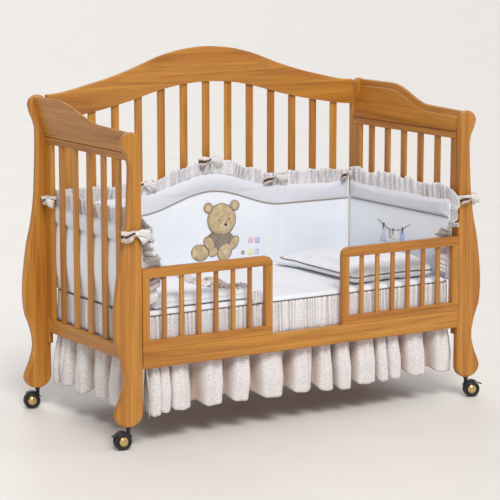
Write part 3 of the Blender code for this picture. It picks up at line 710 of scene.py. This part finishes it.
def bumper_set(fabrics):
    rear = rear_bumper()
    plain = bumper_cotton("bumper_cotton_side", False)
    sides = {label: side_bumper(label, plain) for label in SIDES}
    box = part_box("bumper_rear")
    x = np.linspace(box[0].x + 0.006, box[1].x - 0.006, 240)
    starts = [(a, 0.0, float(bumper_edge(a)) - BAND) for a in x]
    piping_on(rear, "piping_rear", starts, (0, 1, 0), fabrics["piping"])
    for label, side in SIDES.items():
        low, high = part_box("bumper_" + label)
        y = np.linspace(low.y + 0.012, high.y - 0.030, 120)
        starts = [(0.0, a, FLAT_TOP - BAND) for a in y]
        piping_on(sides[label], "piping_" + label, starts, (side, 0, 0), fabrics["piping"])
        path, drop = side_ruffle(side, label)
        grid, fold_shade = gathers(path, drop, 0.057, 0.031, 0.0088, 31 + side, **RUFFLE)
        obj = cloth_piece("bumper_ruffle_" + label, grid, fabrics["print"], fold_shade=0.5 * fold_shade)
    grid, fold_shade = gathers(rear_ruffle_path(), (0, -0.12, 1), 0.052, 0.031, 0.0095, 21, **RUFFLE)
    obj = cloth_piece("bumper_ruffle_rear", grid, fabrics["print"], fold_shade=0.5 * fold_shade)
    return rear, sides


# Mattress and its cover

def rounded_run(low, high, radius, z, steps=8):
    """A closed run round a rectangle with rounded corners, seen anticlockwise from above."""
    points = []
    corners = ((high.x, low.y, -90), (high.x, high.y, 0), (low.x, high.y, 90), (low.x, low.y, 180))
    for x, y, start in corners:
        cx = x - math.copysign(radius, x)
        cy = y + radius if y == low.y else y - radius
        for k in range(steps + 1):
            a = math.radians(start + 90 * k / steps)
            points.append((cx + radius * math.cos(a), cy + radius * math.sin(a), z))
    return points + points[:1]


def mattress(fabrics):
    low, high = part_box("mattress")
    obj = remeshed("mattress_pad", shell_of("mattress", 0.0015), 0.011)
    co = points_of(obj.data)
    edge = np.minimum(
        np.minimum(co[:, 0] - low.x, high.x - co[:, 0]), np.minimum(co[:, 1] - low.y, high.y - co[:, 1])
    )
    upper = np.clip((co[:, 2] - high.z + 0.03) / 0.03, 0, 1)
    ripple = np.array([noise.noise(Vector((p[0] * 5, p[1] * 9, 0.3))) for p in co])
    fine = np.array([noise.noise(Vector((p[0] * 22, p[1] * 30, 2.3))) for p in co])
    crown = np.clip(edge / 0.09, 0, 1)
    co[:, 2] += upper * crown * (0.0012 * ripple + 0.0006 * fine)
    put_points(obj.data, co)
    finish_pad(obj, fabrics["white"], "mattress")
    wide = Vector((0.0025, 0.0025, 0))
    run = rounded_run(low - wide, high + wide, 0.030, high.z - 0.0145)
    tube("mattress_piping", along(run, 0.012)[:-1], 0.0020, fabrics["dark_piping"], cyclic=True)
    run = rounded_run(low - wide, high + wide, 0.030, high.z - 0.016)
    grid, fold_shade = gathers(along(run, 0.0020), (0, 0, -1), high.z - 0.016 - 0.300, 0.0145, 0.0046, 47,
                           header=0.60, flare=0.001, rows=10, curl=0.30)
    grid[:, -1] = grid[:, 0]
    ruffle = cloth_piece("mattress_ruffle", grid, fabrics["print"], fold_shade=0.85 * fold_shade)


# Bed skirt

def bed_skirt(fabrics):
    low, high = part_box("bed_skirt")
    top = high.z - 0.0016
    inset = 0.020
    sides = {
        "front": ((low.x + inset, low.y + inset), (high.x - inset, low.y + inset)),
        "right": ((high.x - inset, low.y + 0.030), (high.x - inset, high.y - 0.030)),
        "rear": ((high.x - inset, high.y - inset), (low.x + inset, high.y - inset)),
        "left": ((low.x + inset, high.y - 0.030), (low.x + inset, low.y + 0.030)),
    }
    for number, (label, (start, end)) in enumerate(sides.items()):
        path = along([(*start, top), (*end, top)], 0.0030)
        grid, fold_shade = lobes(path, (0, 0, -1), top - low.z, 0.088, 0.028, 60 + 5 * number, flare=0.008)
        obj = cloth_piece("skirt_" + label, grid, fabrics["skirt"], 0.0009, fold_shade)
    x = np.linspace(low.x + 0.002, high.x - 0.002, 90)
    y = np.linspace(low.y + 0.002, high.y - 0.002, 48)
    flat = np.array([[(a, b, top + 0.0006) for a in x] for b in y])
    deck = cloth_piece("skirt_deck", flat, fabrics["white"], 0.0008)
    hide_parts("bed_skirt")


# Duvet and pillow

def box_mesh(low, high, edge, segments=3):
    bm = bmesh.new()
    bmesh.ops.create_cube(bm, size=1.0)
    size, middle = Vector(high) - Vector(low), (Vector(high) + Vector(low)) / 2
    bmesh.ops.scale(bm, vec=size, verts=bm.verts)
    bmesh.ops.translate(bm, vec=middle, verts=bm.verts)
    bmesh.ops.bevel(bm, geom=bm.edges[:], offset=edge, segments=segments, profile=0.5, affect="EDGES")
    mesh = bpy.data.meshes.new("box")
    bm.to_mesh(mesh)
    bm.free()
    return mesh


def settle(co, floor, top, share):
    """Flattens what lies below the seam, so that the piece rests on its floor."""
    middle = floor + share * (top - floor)
    low, high = co[:, 2].min(), co[:, 2].max()
    seam = (low + high) / 2
    below = co[:, 2] < seam
    co[below, 2] = middle - (middle - floor) * np.clip((seam - co[below, 2]) / (seam - low), 0, 1) ** 0.6
    co[~below, 2] = middle + (top - middle) * (co[~below, 2] - seam) / (high - seam)
    return co


def cushion(name, node, bag, cap, seam_share, mat, piping):
    """A soft bag blown up by simulation, then set down on its lower side."""
    low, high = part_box(node)
    middle = (low.z + high.z) / 2
    inset = 0.006
    flat = box_mesh((low.x + inset, low.y + inset, middle - bag / 2),
                    (high.x - inset, high.y - inset, middle + bag / 2), 0.45 * bag)
    obj = remeshed(name, flat, 0.006)
    inflate(obj, 5.0, cap)
    co = settle(points_of(obj.data), low.z + 0.0005, high.z, seam_share)
    rear = np.clip((co[:, 1] - low.y - 0.24) / 0.26, 0, 1)
    left = np.clip((low.x + 0.13 - co[:, 0]) / 0.13, 0, 1)
    full = 1 - 0.34 * rear * rear * (3 - 2 * rear) - 0.20 * left * left
    co[:, 2] = low.z + (co[:, 2] - low.z) * full
    co = hang_over(co, low, 0.006)
    put_points(obj.data, co)
    finish_pad(obj, mat, node)
    seam_z = low.z + seam_share * (high.z - low.z)
    tree = tree_of(obj)
    centre = (low + high) / 2
    points = []
    for k in range(220):
        a = TAU * k / 220
        far = Vector((centre.x + 0.6 * math.cos(a), centre.y + 0.6 * math.sin(a), seam_z + 0.001))
        towards = Vector((-math.cos(a), -math.sin(a), 0))
        point = surface_point(tree, far, towards, 0.0008)
        if point is not None:
            points.append(point)
    tube(name + "_piping", points, 0.0022, piping, cyclic=True)
    return obj


def duvet(fabrics):
    low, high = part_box("duvet")

    def two_layers(co):
        """Draws the sides in at mid height, where the folded quilt's two layers part."""
        middle = (low.z + high.z) / 2
        pinch = np.exp(-(((co[:, 2] - middle) / 0.006) ** 2))
        for axis in (0, 1):
            centre = (low[axis] + high[axis]) / 2
            reach = np.abs(co[:, axis] - centre) / ((high[axis] - low[axis]) / 2)
            co[:, axis] -= np.sign(co[:, axis] - centre) * 0.010 * pinch * np.clip((reach - 0.9) / 0.1, 0, 1)
        return co

    obj = pad("duvet_pad", "duvet", 0.005, 0.006, 3.0, 0.009, None, two_layers)
    co = points_of(obj.data)
    ripple = np.array([noise.noise(Vector((p[0] * 9, p[1] * 6, 5.3))) for p in co])
    upper = np.clip((co[:, 2] - low.z - 0.01) / 0.02, 0, 1)
    co[:, 2] += 0.0028 * ripple * upper
    co[:, 2] = np.maximum(co[:, 2], low.z + 0.0004)
    co = hang_over(co, low, 0.020)
    put_points(obj.data, co)
    finish_pad(obj, fabrics["white"], "duvet")
    tree = tree_of(obj)
    line = []
    for x in np.linspace(low.x + 0.020, high.x - 0.012, 90):
        tries = (surface_point(tree, (x, -0.6, low.z + lift), (0, 1, 0), 0.0006)
                 for lift in np.arange(-0.012, 0.02, 0.001))
        line.append(next((point for point in tries if point is not None), None))
    line = [point for point in line if point is not None]
    tube("duvet_piping", smooth_run(line[::3], 120), 0.0020, fabrics["dark_piping"])
    return obj


def hang_over(co, low, drop):
    """Lets the front edge sink over the rounded edge of what it lies on."""
    near = np.clip((low.y + 0.034 - co[:, 1]) / 0.034, 0, 1) ** 1.6
    lower = np.clip(1.25 - (co[:, 2] - low.z) / 0.040, 0.25, 1)
    co[:, 2] -= drop * near * lower
    co[:, 1] -= 0.0075 * near
    return co


def on_top(tree, x, y, lift):
    return surface_point(tree, (x, y, 1.0), (0, 0, -1), lift)


def duvet_ruffle(obj, fabrics):
    """A curved printed ruffle sewn on the folded quilt's upper face."""
    marks = ((-0.300, 0.185), (-0.287, 0.075), (-0.312, -0.060), (-0.314, -0.160), (-0.290, -0.236),
             (-0.235, -0.268), (-0.168, -0.262))
    curve = smooth_run([(x, y, 0.0) for x, y in marks], 60)
    tree = tree_of(obj)
    path = along([on_top(tree, p[0], p[1], 0.001) or (p[0], p[1], 0.45) for p in curve], 0.0022)
    tangent = unit(np.gradient(path, axis=0))
    outward = np.cross(tangent, (0, 0, -1.0))
    drop = unit(outward * 0.9 + np.array((0, 0, 0.35)))
    grid, fold_shade = gathers(path, drop, 0.030, 0.021, 0.0055, 83, header=0.35, rows=7, curl=0.6)
    ruffle = cloth_piece("duvet_ruffle", grid, fabrics["print"], fold_shade=1.3 * fold_shade)
    low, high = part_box("duvet")
    edge = [(x, low.y - 0.0060, high.z - 0.006) for x in (high.x - 0.034, high.x - 0.004)]
    grid, fold_shade = gathers(along(edge, 0.001), (0, -0.10, -1), 0.040, 0.011, 0.0032, 91, header=0.5, rows=8)
    flap = cloth_piece("duvet_flap", grid, fabrics["print"], fold_shade=1.2 * fold_shade)
    for name, (u, v, a, b), tilt, colour in (
        ("body", (-0.240, -0.145, 0.030, 0.056), -14, "pale_fur"),
        ("head", (-0.212, -0.085, 0.027, 0.030), 0, "fur"),
        ("paw", (-0.256, -0.196, 0.020, 0.022), 0, "fur"),
    ):
        outline = oval(u, v, a, b, tilt, 40, 0.0015, 140)
        patch("duvet_bear_" + name, tree, outline, lambda p, q: (p, q, 1.0), (0, 0, -1), 0.003,
              fabrics[colour])
        ring = [on_top(tree, *p, 0.0012) for p in oval(u, v, a, b, tilt, 50)]
        tube(f"duvet_bear_{name}_stitch", ring, 0.0008, fabrics["dark_thread"], sides=5, cyclic=True)


def smooth_run(points, count):
    """A smooth curve through a few points."""
    points = np.asarray(points, float)
    ends = np.vstack((2 * points[0] - points[1], points, 2 * points[-1] - points[-2]))
    out = []
    for at in np.linspace(0, len(points) - 1 - 1e-9, count):
        i, f = int(at) + 1, at - int(at)
        out.append(spline(*ends[i - 1:i + 3], f))
    return np.array(out)


# Bows and ties

def ribbon(centre, across, widths):
    """Grid of a strip that follows a centre line, as wide as widths says."""
    half = across * (np.asarray(widths)[:, None] / 2)
    return np.array([centre - half, centre - half * 0.34, centre + half * 0.34, centre + half])


def bow_grids(centre, right, out, reach, width, seed):
    """Ribbons of a bow: two loops, two tails and the knot. right and out are level directions."""
    rng = np.random.default_rng(seed)
    centre, right, out = (np.asarray(v, float) for v in (centre, right, out))
    up = np.array((0.0, 0.0, 1.0))
    grids = []
    for side in (-1, 1):
        turn = np.linspace(0.0, TAU, 33)
        long = reach * rng.uniform(0.9, 1.05)
        droop = rng.uniform(0.05, 0.30)
        run = long * (1 - np.cos(turn)) / 2
        line = (centre + np.outer(side * run, right) + np.outer(0.011 * np.sin(turn) + 0.004, out)
                - np.outer(droop * run**2 / long, up))
        line += np.outer(0.0022 * np.sin(3 * turn + seed), up)
        pinch = np.clip(np.sin(turn / 2), 0, 1) ** 0.7
        grids.append(ribbon(line, np.tile(up, (33, 1)) + np.outer(0.25 * np.sin(turn), out),
                            width * (0.28 + 0.80 * pinch)))
    for side in (-1, 1):
        share = np.linspace(0.0, 1.0, 18)
        fall = rng.uniform(0.35, 0.60)
        line = (centre + np.outer(side * reach * 0.75 * share, right)
                - np.outer(reach * fall * share**1.4, up)
                + np.outer(0.006 + 0.006 * np.sin(5 * share + seed), out))
        twist = 0.9 * np.sin(2.2 * share + seed)
        across = np.outer(np.cos(twist), 0.75 * up + 0.66 * side * right) + np.outer(np.sin(twist), out)
        grids.append(ribbon(line, across, width * (0.25 + 0.70 * np.minimum(1.6 * share, 1.0))))
    turn = np.linspace(0.0, TAU, 17)
    line = centre + np.outer(0.0070 * np.cos(turn), up) + np.outer(0.0075 * np.sin(turn) + 0.004, out)
    grids.append(ribbon(line, np.tile(right, (17, 1)), np.full(17, 0.013)))
    return grids


def band_grid(points, width):
    """A flat tie round a post or slat, standing on its edge."""
    line = along(points, 0.004)
    return ribbon(line, np.tile((0.0, 0.0, 1.0), (len(line), 1)), np.full(len(line), width))


def tie(name, grids, mats):
    bm = bmesh.new()
    for grid in grids:
        mesh = sheet_mesh(name, grid)
        bm.from_mesh(mesh)
        bpy.data.meshes.remove(mesh)
    area = sum(face.calc_area() for face in bm.faces)
    obj = piece(name, mesh_from(bm, name, outward=False), *mats)
    hem = thicken(obj, 0.0011, -1.0)
    hem.material_offset = 1
    hem.material_offset_rim = 0
    return obj


def ring_round(centre_x, centre_y, half_x, half_y, z, radius=0.004):
    points = []
    for sx, sy, start in ((1, -1, -90), (1, 1, 0), (-1, 1, 90), (-1, -1, 180)):
        for k in range(6):
            a = math.radians(start + 18 * k)
            points.append((centre_x + sx * (half_x - radius) + radius * math.cos(a),
                           centre_y + sy * (half_y - radius) + radius * math.sin(a), z))
    return points + points[:1]


def band_round(node, z):
    """A tie round an upright timber, 2 mm off its faces."""
    low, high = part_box(node)
    return band_grid(ring_round((low.x + high.x) / 2, (low.y + high.y) / 2, (high.x - low.x) / 2 + 0.002,
                                (high.y - low.y) / 2 + 0.002, z), 0.012)


def ties(fabrics):
    mats = (fabrics["ribbon"], fabrics["ribbon_back"])
    front_of_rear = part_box("bumper_rear")[0].y
    right, towards = (1, 0, 0), (0, -1, 0)
    # rear bumper, each bow in front of the slat it is tied to
    for number, (slat, lift) in enumerate(((4, 0.036), (7, 0.040), (10, 0.026))):
        low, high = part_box(f"rear_slat_{slat}")
        x = (low.x + high.x) / 2
        z = float(bumper_edge(x)) + lift
        ring = band_round(f"rear_slat_{slat}", z)
        bow = bow_grids((x, front_of_rear + 0.006, z), right, towards, 0.050, 0.026, 5 + number)
        tie(f"tie_rear_{slat}", [*bow, ring], mats)
    # front posts
    for label, side, z in (("left", -1, 0.676), ("right", 1, 0.694)):
        low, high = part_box("post_front_" + label)
        inner = side * min(abs(low.x), abs(high.x))
        outer = inner + side * (0.057 if side < 0 else 0.054)
        middle = (inner + outer) / 2
        y = (low.y + high.y) / 2
        ring = band_grid(ring_round(middle, y, abs(outer - inner) / 2 + 0.0025,
                                    (high.y - low.y) / 2 + 0.0025, z), 0.014)
        place = middle if side < 0 else middle + 0.012
        reach = 0.052 if side < 0 else 0.036
        bow = bow_grids((place, low.y - 0.004, z), right, towards, reach, 0.028, 12 + side)
        tie("tie_front_" + label, [*bow, ring], mats)
    # rear posts, seen from inside the corner
    for label, side in SIDES.items():
        x = side * 0.578
        z = FLAT_TOP + 0.020
        bow = bow_grids((x, front_of_rear + 0.004, z), (0.92, side * 0.38, 0), (side * -0.38, -0.92, 0),
                        0.046, 0.026, 31 + side)
        stile = "end_stile_rear_" + label
        tie("tie_rear_corner_" + label, [*bow, band_round(stile, z)], mats)
    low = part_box("end_stile_rear_left")[0]
    bow = bow_grids((low.x - 0.005, low.y + 0.012, FLAT_TOP + 0.012), (0, -1, 0), (-1, 0, 0), 0.032, 0.026, 44)
    tie("tie_outer_left", bow, mats)


# Appliques

def patch(name, tree, outline, start, direction, lift, mat, edge=0.0008, rings=5):
    """A raised patch on a padded face: a fan of rings from its outline, which start places, to its middle."""
    outline = np.asarray(outline, float)
    centre = outline.mean(axis=0)
    layers = []
    for k in range(rings):
        share = 1 - k / rings
        height = edge + lift * (1 - share**3)
        layers.append([surface_point(tree, start(u, v), direction, height)
                       for u, v in centre + share * (outline - centre)])
    middle = surface_point(tree, start(*centre), direction, edge + lift)
    back = [p + Vector(direction) * (edge + 0.0006) for p in layers[0]]
    bm = bmesh.new()
    rows = [[bm.verts.new(p) for p in row] for row in (back, *layers)]
    top = bm.verts.new(middle)
    skin(bm, rows)
    last = rows[-1]
    for i in range(len(last)):
        bm.faces.new((last[i], last[(i + 1) % len(last)], top))
    return piece(name, mesh_from(bm, name), mat)


def oval(u, v, a, b, tilt=0.0, steps=40, fringe=0.0, seed=0):
    """Outline of an oval, with a slightly ragged edge for plush."""
    rough = wander(steps + 1, steps // 2, seed, -fringe, fringe)[:-1]
    t = np.linspace(0, TAU, steps, endpoint=False)
    x, y = (a + rough) * np.cos(t), (b + rough) * np.sin(t)
    c, s = math.cos(math.radians(tilt)), math.sin(math.radians(tilt))
    return np.stack((u + x * c - y * s, v + x * s + y * c), axis=1)


def bear(tree, fabrics):
    """A plain sitting teddy in plush, sewn on the rear bumper."""
    direction = (0, 1, 0)

    def start(u, v):
        return (u, 0.0, v)

    fur, pale, shirt, dark = (fabrics[k] for k in ("fur", "pale_fur", "shirt", "dark_thread"))
    shapes = (
        ("ear_left", (-0.014, 0.632, 0.018, 0.018), 0, fur, 0.0015, 0.001),
        ("ear_right", (0.093, 0.634, 0.019, 0.018), 0, fur, 0.0015, 0.001),
        ("ear_pad_right", (0.092, 0.633, 0.010, 0.010), 0, pale, 0.0030, 0.0005),
        ("ear_pad_left", (-0.013, 0.631, 0.010, 0.010), 0, pale, 0.0030, 0.0005),
        ("body", (0.032, 0.512, 0.058, 0.038), -4, shirt, 0.0025, 0.001),
        ("head", (0.038, 0.588, 0.057, 0.056), 8, fur, 0.0050, 0.004),
        ("muzzle", (0.048, 0.564, 0.027, 0.020), -4, pale, 0.0078, 0.0008),
        ("arm_left", (-0.012, 0.508, 0.019, 0.028), 38, fur, 0.0045, 0.0012),
        ("arm_right", (0.089, 0.503, 0.016, 0.026), -32, fur, 0.0045, 0.0012),
        ("leg_left", (-0.048, 0.478, 0.035, 0.028), -20, fur, 0.0050, 0.0015),
        ("leg_right", (0.052, 0.474, 0.029, 0.033), -14, fur, 0.0056, 0.0015),
        ("middle", (0.004, 0.478, 0.020, 0.018), 0, fur, 0.0040, 0.0012),
        ("sole_right", (0.055, 0.472, 0.015, 0.018), -14, pale, 0.0080, 0.0004),
        ("sole_left", (-0.072, 0.476, 0.008, 0.015), -10, pale, 0.0066, 0.0004),
    )
    for number, (name, (u, v, a, b), tilt, mat, lift, fringe) in enumerate(shapes):
        outline = oval(u, v, a, b, tilt, 44, fringe, 100 + number)
        patch("bear_" + name, tree, outline, start, direction, lift, mat)
        if name not in ("muzzle", "ear_pad_left", "ear_pad_right", "sole_left", "sole_right"):
            ring = [surface_point(tree, start(*p), direction, 0.0012) for p in oval(u, v, a, b, tilt, 60)]
            tube(f"bear_{name}_stitch", ring, 0.0009, dark, sides=5, cyclic=True)
    patch("bear_nose", tree, oval(0.050, 0.571, 0.0095, 0.0070), start, direction, 0.0110, dark)
    for label, u in (("left", 0.024), ("right", 0.066)):
        patch("bear_eye_" + label, tree, oval(u, 0.590, 0.0034, 0.0042), start, direction, 0.0075, dark)


def blocks(tree, fabrics):
    """Small plain toy squares beside the bear."""
    colours = ("pink", "yellow", "lilac", "taupe", "blue")
    places = ((0.158, 0.507), (0.161, 0.464), (0.186, 0.464), (0.128, 0.464), (0.186, 0.504))
    for number, (colour, (u, v)) in enumerate(zip(colours, places)):
        a = 0.0105 if colour != "taupe" else 0.007
        corner = 0.0025
        outline = []
        for sx, sy, start_angle in ((1, 1, 0), (-1, 1, 90), (-1, -1, 180), (1, -1, 270)):
            for k in range(5):
                t = math.radians(start_angle + 22.5 * k)
                outline.append((u + sx * (a - corner) + corner * math.cos(t),
                                v + sy * (a - corner) + corner * math.sin(t)))
        patch(f"block_{number + 1}", tree, outline, lambda p, q: (p, 0.0, q), (0, 1, 0), 0.0012,
              fabrics[colour])


def dense(outline, steps):
    """A closed outline with more points along each side."""
    closed = np.array((*outline, outline[0]))
    return np.vstack([np.linspace(a, b, steps)[:-1] for a, b in zip(closed, closed[1:])])


def washing_line(tree, fabrics):
    """A stitched line with small plain clothes, on the right bumper."""
    direction = (1, 0, 0)

    def start(u, v):
        return (0.2, u, v)

    line = [surface_point(tree, start(0.100 - 0.19 * t, 0.570 - 0.030 * math.sin(math.pi * t) + 0.004 * t),
                          direction, 0.0006) for t in np.linspace(0, 1, 40)]
    tube("washing_line", line, 0.0010, fabrics["dark_thread"], sides=6)
    clothes = (
        ("dress", "lilac", ((0.074, 0.552), (0.050, 0.549), (0.052, 0.528), (0.036, 0.492), (0.086, 0.495),
                            (0.071, 0.530))),
        ("scarf", "taupe", ((0.032, 0.546), (0.024, 0.545), (0.018, 0.512), (0.026, 0.512))),
        ("shirt", "white_patch", ((0.012, 0.543), (-0.016, 0.543), (-0.018, 0.508), (0.010, 0.508))),
        ("trousers", "blue", ((-0.036, 0.546), (-0.060, 0.548), (-0.066, 0.500), (-0.052, 0.500),
                              (-0.048, 0.520), (-0.044, 0.500), (-0.032, 0.500))),
    )
    for name, colour, outline in clothes:
        patch("washing_" + name, tree, dense(outline, 7), start, direction, 0.0010, fabrics[colour])
    for number, u in enumerate((0.064, 0.006, -0.048)):
        share = (0.100 - u) / 0.19
        top = 0.570 - 0.030 * math.sin(math.pi * share) + 0.008
        peg = ((u - 0.0042, top), (u + 0.0042, top), (u + 0.0030, top - 0.024), (u - 0.0030, top - 0.024))
        patch(f"washing_peg_{number + 1}", tree, dense(peg, 4), start, direction, 0.0014,
              fabrics["dark_thread"])


# Casters

def lathe(name, profile, place, axis, mat, body, ring=False, steps=48):
    """A turned piece: (radius, distance along the axis) pairs, closed at both ends or into a ring."""
    axis = Vector(axis).normalized()
    side = axis.orthogonal().normalized()
    over = axis.cross(side)
    bm = bmesh.new()
    rings = []
    for radius, reach in profile:
        turns = (TAU * k / steps for k in range(steps))
        rings.append([
            bm.verts.new(Vector(place) + axis * reach + (side * math.cos(a) + over * math.sin(a)) * radius)
            for a in turns
        ])
    skin(bm, rings, ring)
    if not ring:
        bm.faces.new(rings[-1])
        bm.faces.new(rings[0][::-1])
    return piece(name, mesh_from(bm, name, sharp=45), mat, body=body)


def black_nylon(name, rough):
    s = Shader(name)
    grit = s.noise(s.coords, 900.0, detail=2.0)
    scuffs = s.noise(s.mapped(scale=(60, 60, 60)), 1.0, detail=5.0, roughness=0.7)
    colour = s.ramp(scuffs, (0.4, (0.006, 0.006, 0.0065)), (0.75, (0.022, 0.021, 0.020)))
    gloss = s.ramp(scuffs, (0.4, rough), (0.7, rough + 0.25))
    return s.set(Base_Color=colour, Roughness=gloss, Normal=s.bump(grit, 0.15, 0.0003))


def brass(name):
    s = Shader(name)
    dull = s.noise(s.coords, 160.0, detail=4.0)
    colour = s.ramp(dull, (0.35, (0.52, 0.36, 0.13)), (0.7, (0.78, 0.60, 0.28)))
    gloss = s.ramp(dull, (0.3, 0.22), (0.8, 0.42))
    return s.set(Base_Color=colour, Metallic=1.0, Roughness=gloss)


CAP_PROFILE = ((0.0149, 0.0), (0.0149, 0.0014), (0.0138, 0.0026), (0.0118, 0.0029), (0.0105, 0.0022),
               (0.0098, 0.0024), (0.0080, 0.0040), (0.0050, 0.0050), (0.0020, 0.0054), (0.0004, 0.0055))
RIM_PROFILE = ((0.0228, 0.0), (0.0228, 0.0015), (0.0222, 0.0019), (0.0206, 0.0019), (0.0200, 0.0015),
               (0.0200, 0.0))


def casters():
    tyre, shell, cap = black_nylon("caster_tyre", 0.38), black_nylon("caster_shell", 0.28), brass("brass")
    for place in ("front_left", "front_right", "rear_left", "rear_right"):
        dress("caster_frame_" + place, shell)
        dress("caster_wheel_" + place, tyre)
        joint = next(j for j in frame["joints"] if j["name"] == "roll_" + place)
        axis = Vector(joint["axis"]).normalized()
        low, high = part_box("caster_wheel_" + place)
        hub = (low + high) / 2
        points = points_of(NODES["caster_wheel_" + place].data) - np.array(hub)
        face = float(np.max(points @ np.array(axis)))
        for label, turn in (("a", 1), ("b", -1)):
            seat = hub + axis * (turn * (face - 0.0025 + 0.0002))
            lathe(f"hub_cap_{place}_{label}", CAP_PROFILE, seat, axis * turn, cap, "wheels_" + place)
            groove = hub + axis * (turn * (face - 0.0009))
            lathe(f"wheel_rim_{place}_{label}", RIM_PROFILE, groove, axis * turn, shell,
                  "wheels_" + place, ring=True)
    for label in ("left", "right"):
        dress("brake_lever_front_" + label, shell)


# Stage

def camera():
    data = bpy.data.cameras.new("camera")
    data.lens = 147.316
    data.sensor_width = 36.0
    obj = bpy.data.objects.new("camera", data)
    bpy.context.scene.collection.objects.link(obj)
    obj.location = (-3.6010, -5.7348, 1.6461)
    obj.rotation_euler = (math.radians(90 - 9.4163), 0.0, math.radians(-32.0095))
    bpy.context.scene.camera = obj


def sun(name, towards, strength, softness):
    """A soft light from far away; towards points from the object to it."""
    data = bpy.data.lights.new(name, "SUN")
    data.energy = strength
    data.angle = math.radians(softness)
    obj = bpy.data.objects.new(name, data)
    bpy.context.scene.collection.objects.link(obj)
    obj.rotation_euler = Vector(towards).to_track_quat("Z", "Y").to_euler()


def studio():
    bpy.context.scene.view_settings.view_transform = "Standard"
    world = bpy.data.worlds.new("studio")
    world.use_nodes = True
    world.node_tree.nodes["Background"].inputs[0].default_value = (0.95, 0.96, 1.0, 1.0)
    world.node_tree.nodes["Background"].inputs[1].default_value = 0.44
    bpy.context.scene.world = world
    sun("key", (-0.30, -0.80, 0.95), 2.1, 24)
    sun("fill", (0.85, -0.45, 0.60), 0.45, 40)
    sun("back", (0.20, 0.90, 0.80), 0.6, 40)
    bpy.ops.mesh.primitive_plane_add(size=400)
    floor = bpy.context.object
    floor.name = "floor"
    s = Shader("pale_floor")
    cloud = s.noise(s.coords, 3.0)
    colour = s.ramp(cloud, (0.3, (0.80, 0.76, 0.71)), (0.7, (0.83, 0.79, 0.74)))
    floor.data.materials.append(s.set(Base_Color=colour, Roughness=0.45))


FABRICS = {
    "white": white_cotton("white_cotton"),
    "print": printed_cotton("printed_cotton", (0.84, 0.84, 0.86), (0.58, 0.53, 0.52), (0.66, 0.62, 0.70)),
    "skirt": printed_cotton("skirt_cotton", (0.76, 0.72, 0.71), (0.54, 0.46, 0.42), (0.60, 0.53, 0.51)),
    "piping": cord_cotton("beige_piping", (0.36, 0.30, 0.24)),
    "dark_piping": cord_cotton("dark_piping", (0.20, 0.145, 0.105)),
    "ribbon": printed_cotton("ribbon_cotton", (0.84, 0.83, 0.82), (0.60, 0.54, 0.50), (0.66, 0.60, 0.58)),
    "ribbon_back": striped_cotton("ribbon_reverse", (0.09, 0.045, 0.03), (0.66, 0.58, 0.51)),
    "fur": plush("fur", (0.70, 0.52, 0.28)),
    "pale_fur": plush("pale_fur", (0.76, 0.60, 0.40), 0.85),
    "shirt": plush("shirt", (0.31, 0.24, 0.18), 0.8),
    "dark_thread": cord_cotton("dark_thread", (0.10, 0.055, 0.045)),
    "pink": white_cotton("pink_patch", (0.82, 0.55, 0.56)),
    "yellow": white_cotton("yellow_patch", (0.80, 0.79, 0.45)),
    "lilac": white_cotton("lilac_patch", (0.66, 0.62, 0.82)),
    "taupe": white_cotton("taupe_patch", (0.42, 0.33, 0.28)),
    "blue": white_cotton("blue_patch", (0.52, 0.57, 0.80)),
    "white_patch": white_cotton("white_patch", (0.84, 0.83, 0.80)),
}

camera()
studio()
dress_timber()
REAR_PAD, SIDE_PADS = bumper_set(FABRICS)
mattress(FABRICS)
bed_skirt(FABRICS)
cushion("pillow_pad", "pillow", 0.044, 0.030, 0.36, FABRICS["white"], FABRICS["dark_piping"])
DUVET = duvet(FABRICS)
duvet_ruffle(DUVET, FABRICS)
ties(FABRICS)
REAR_TREE = tree_of(REAR_PAD)
bear(REAR_TREE, FABRICS)
blocks(REAR_TREE, FABRICS)
washing_line(tree_of(SIDE_PADS["right"]), FABRICS)
casters()
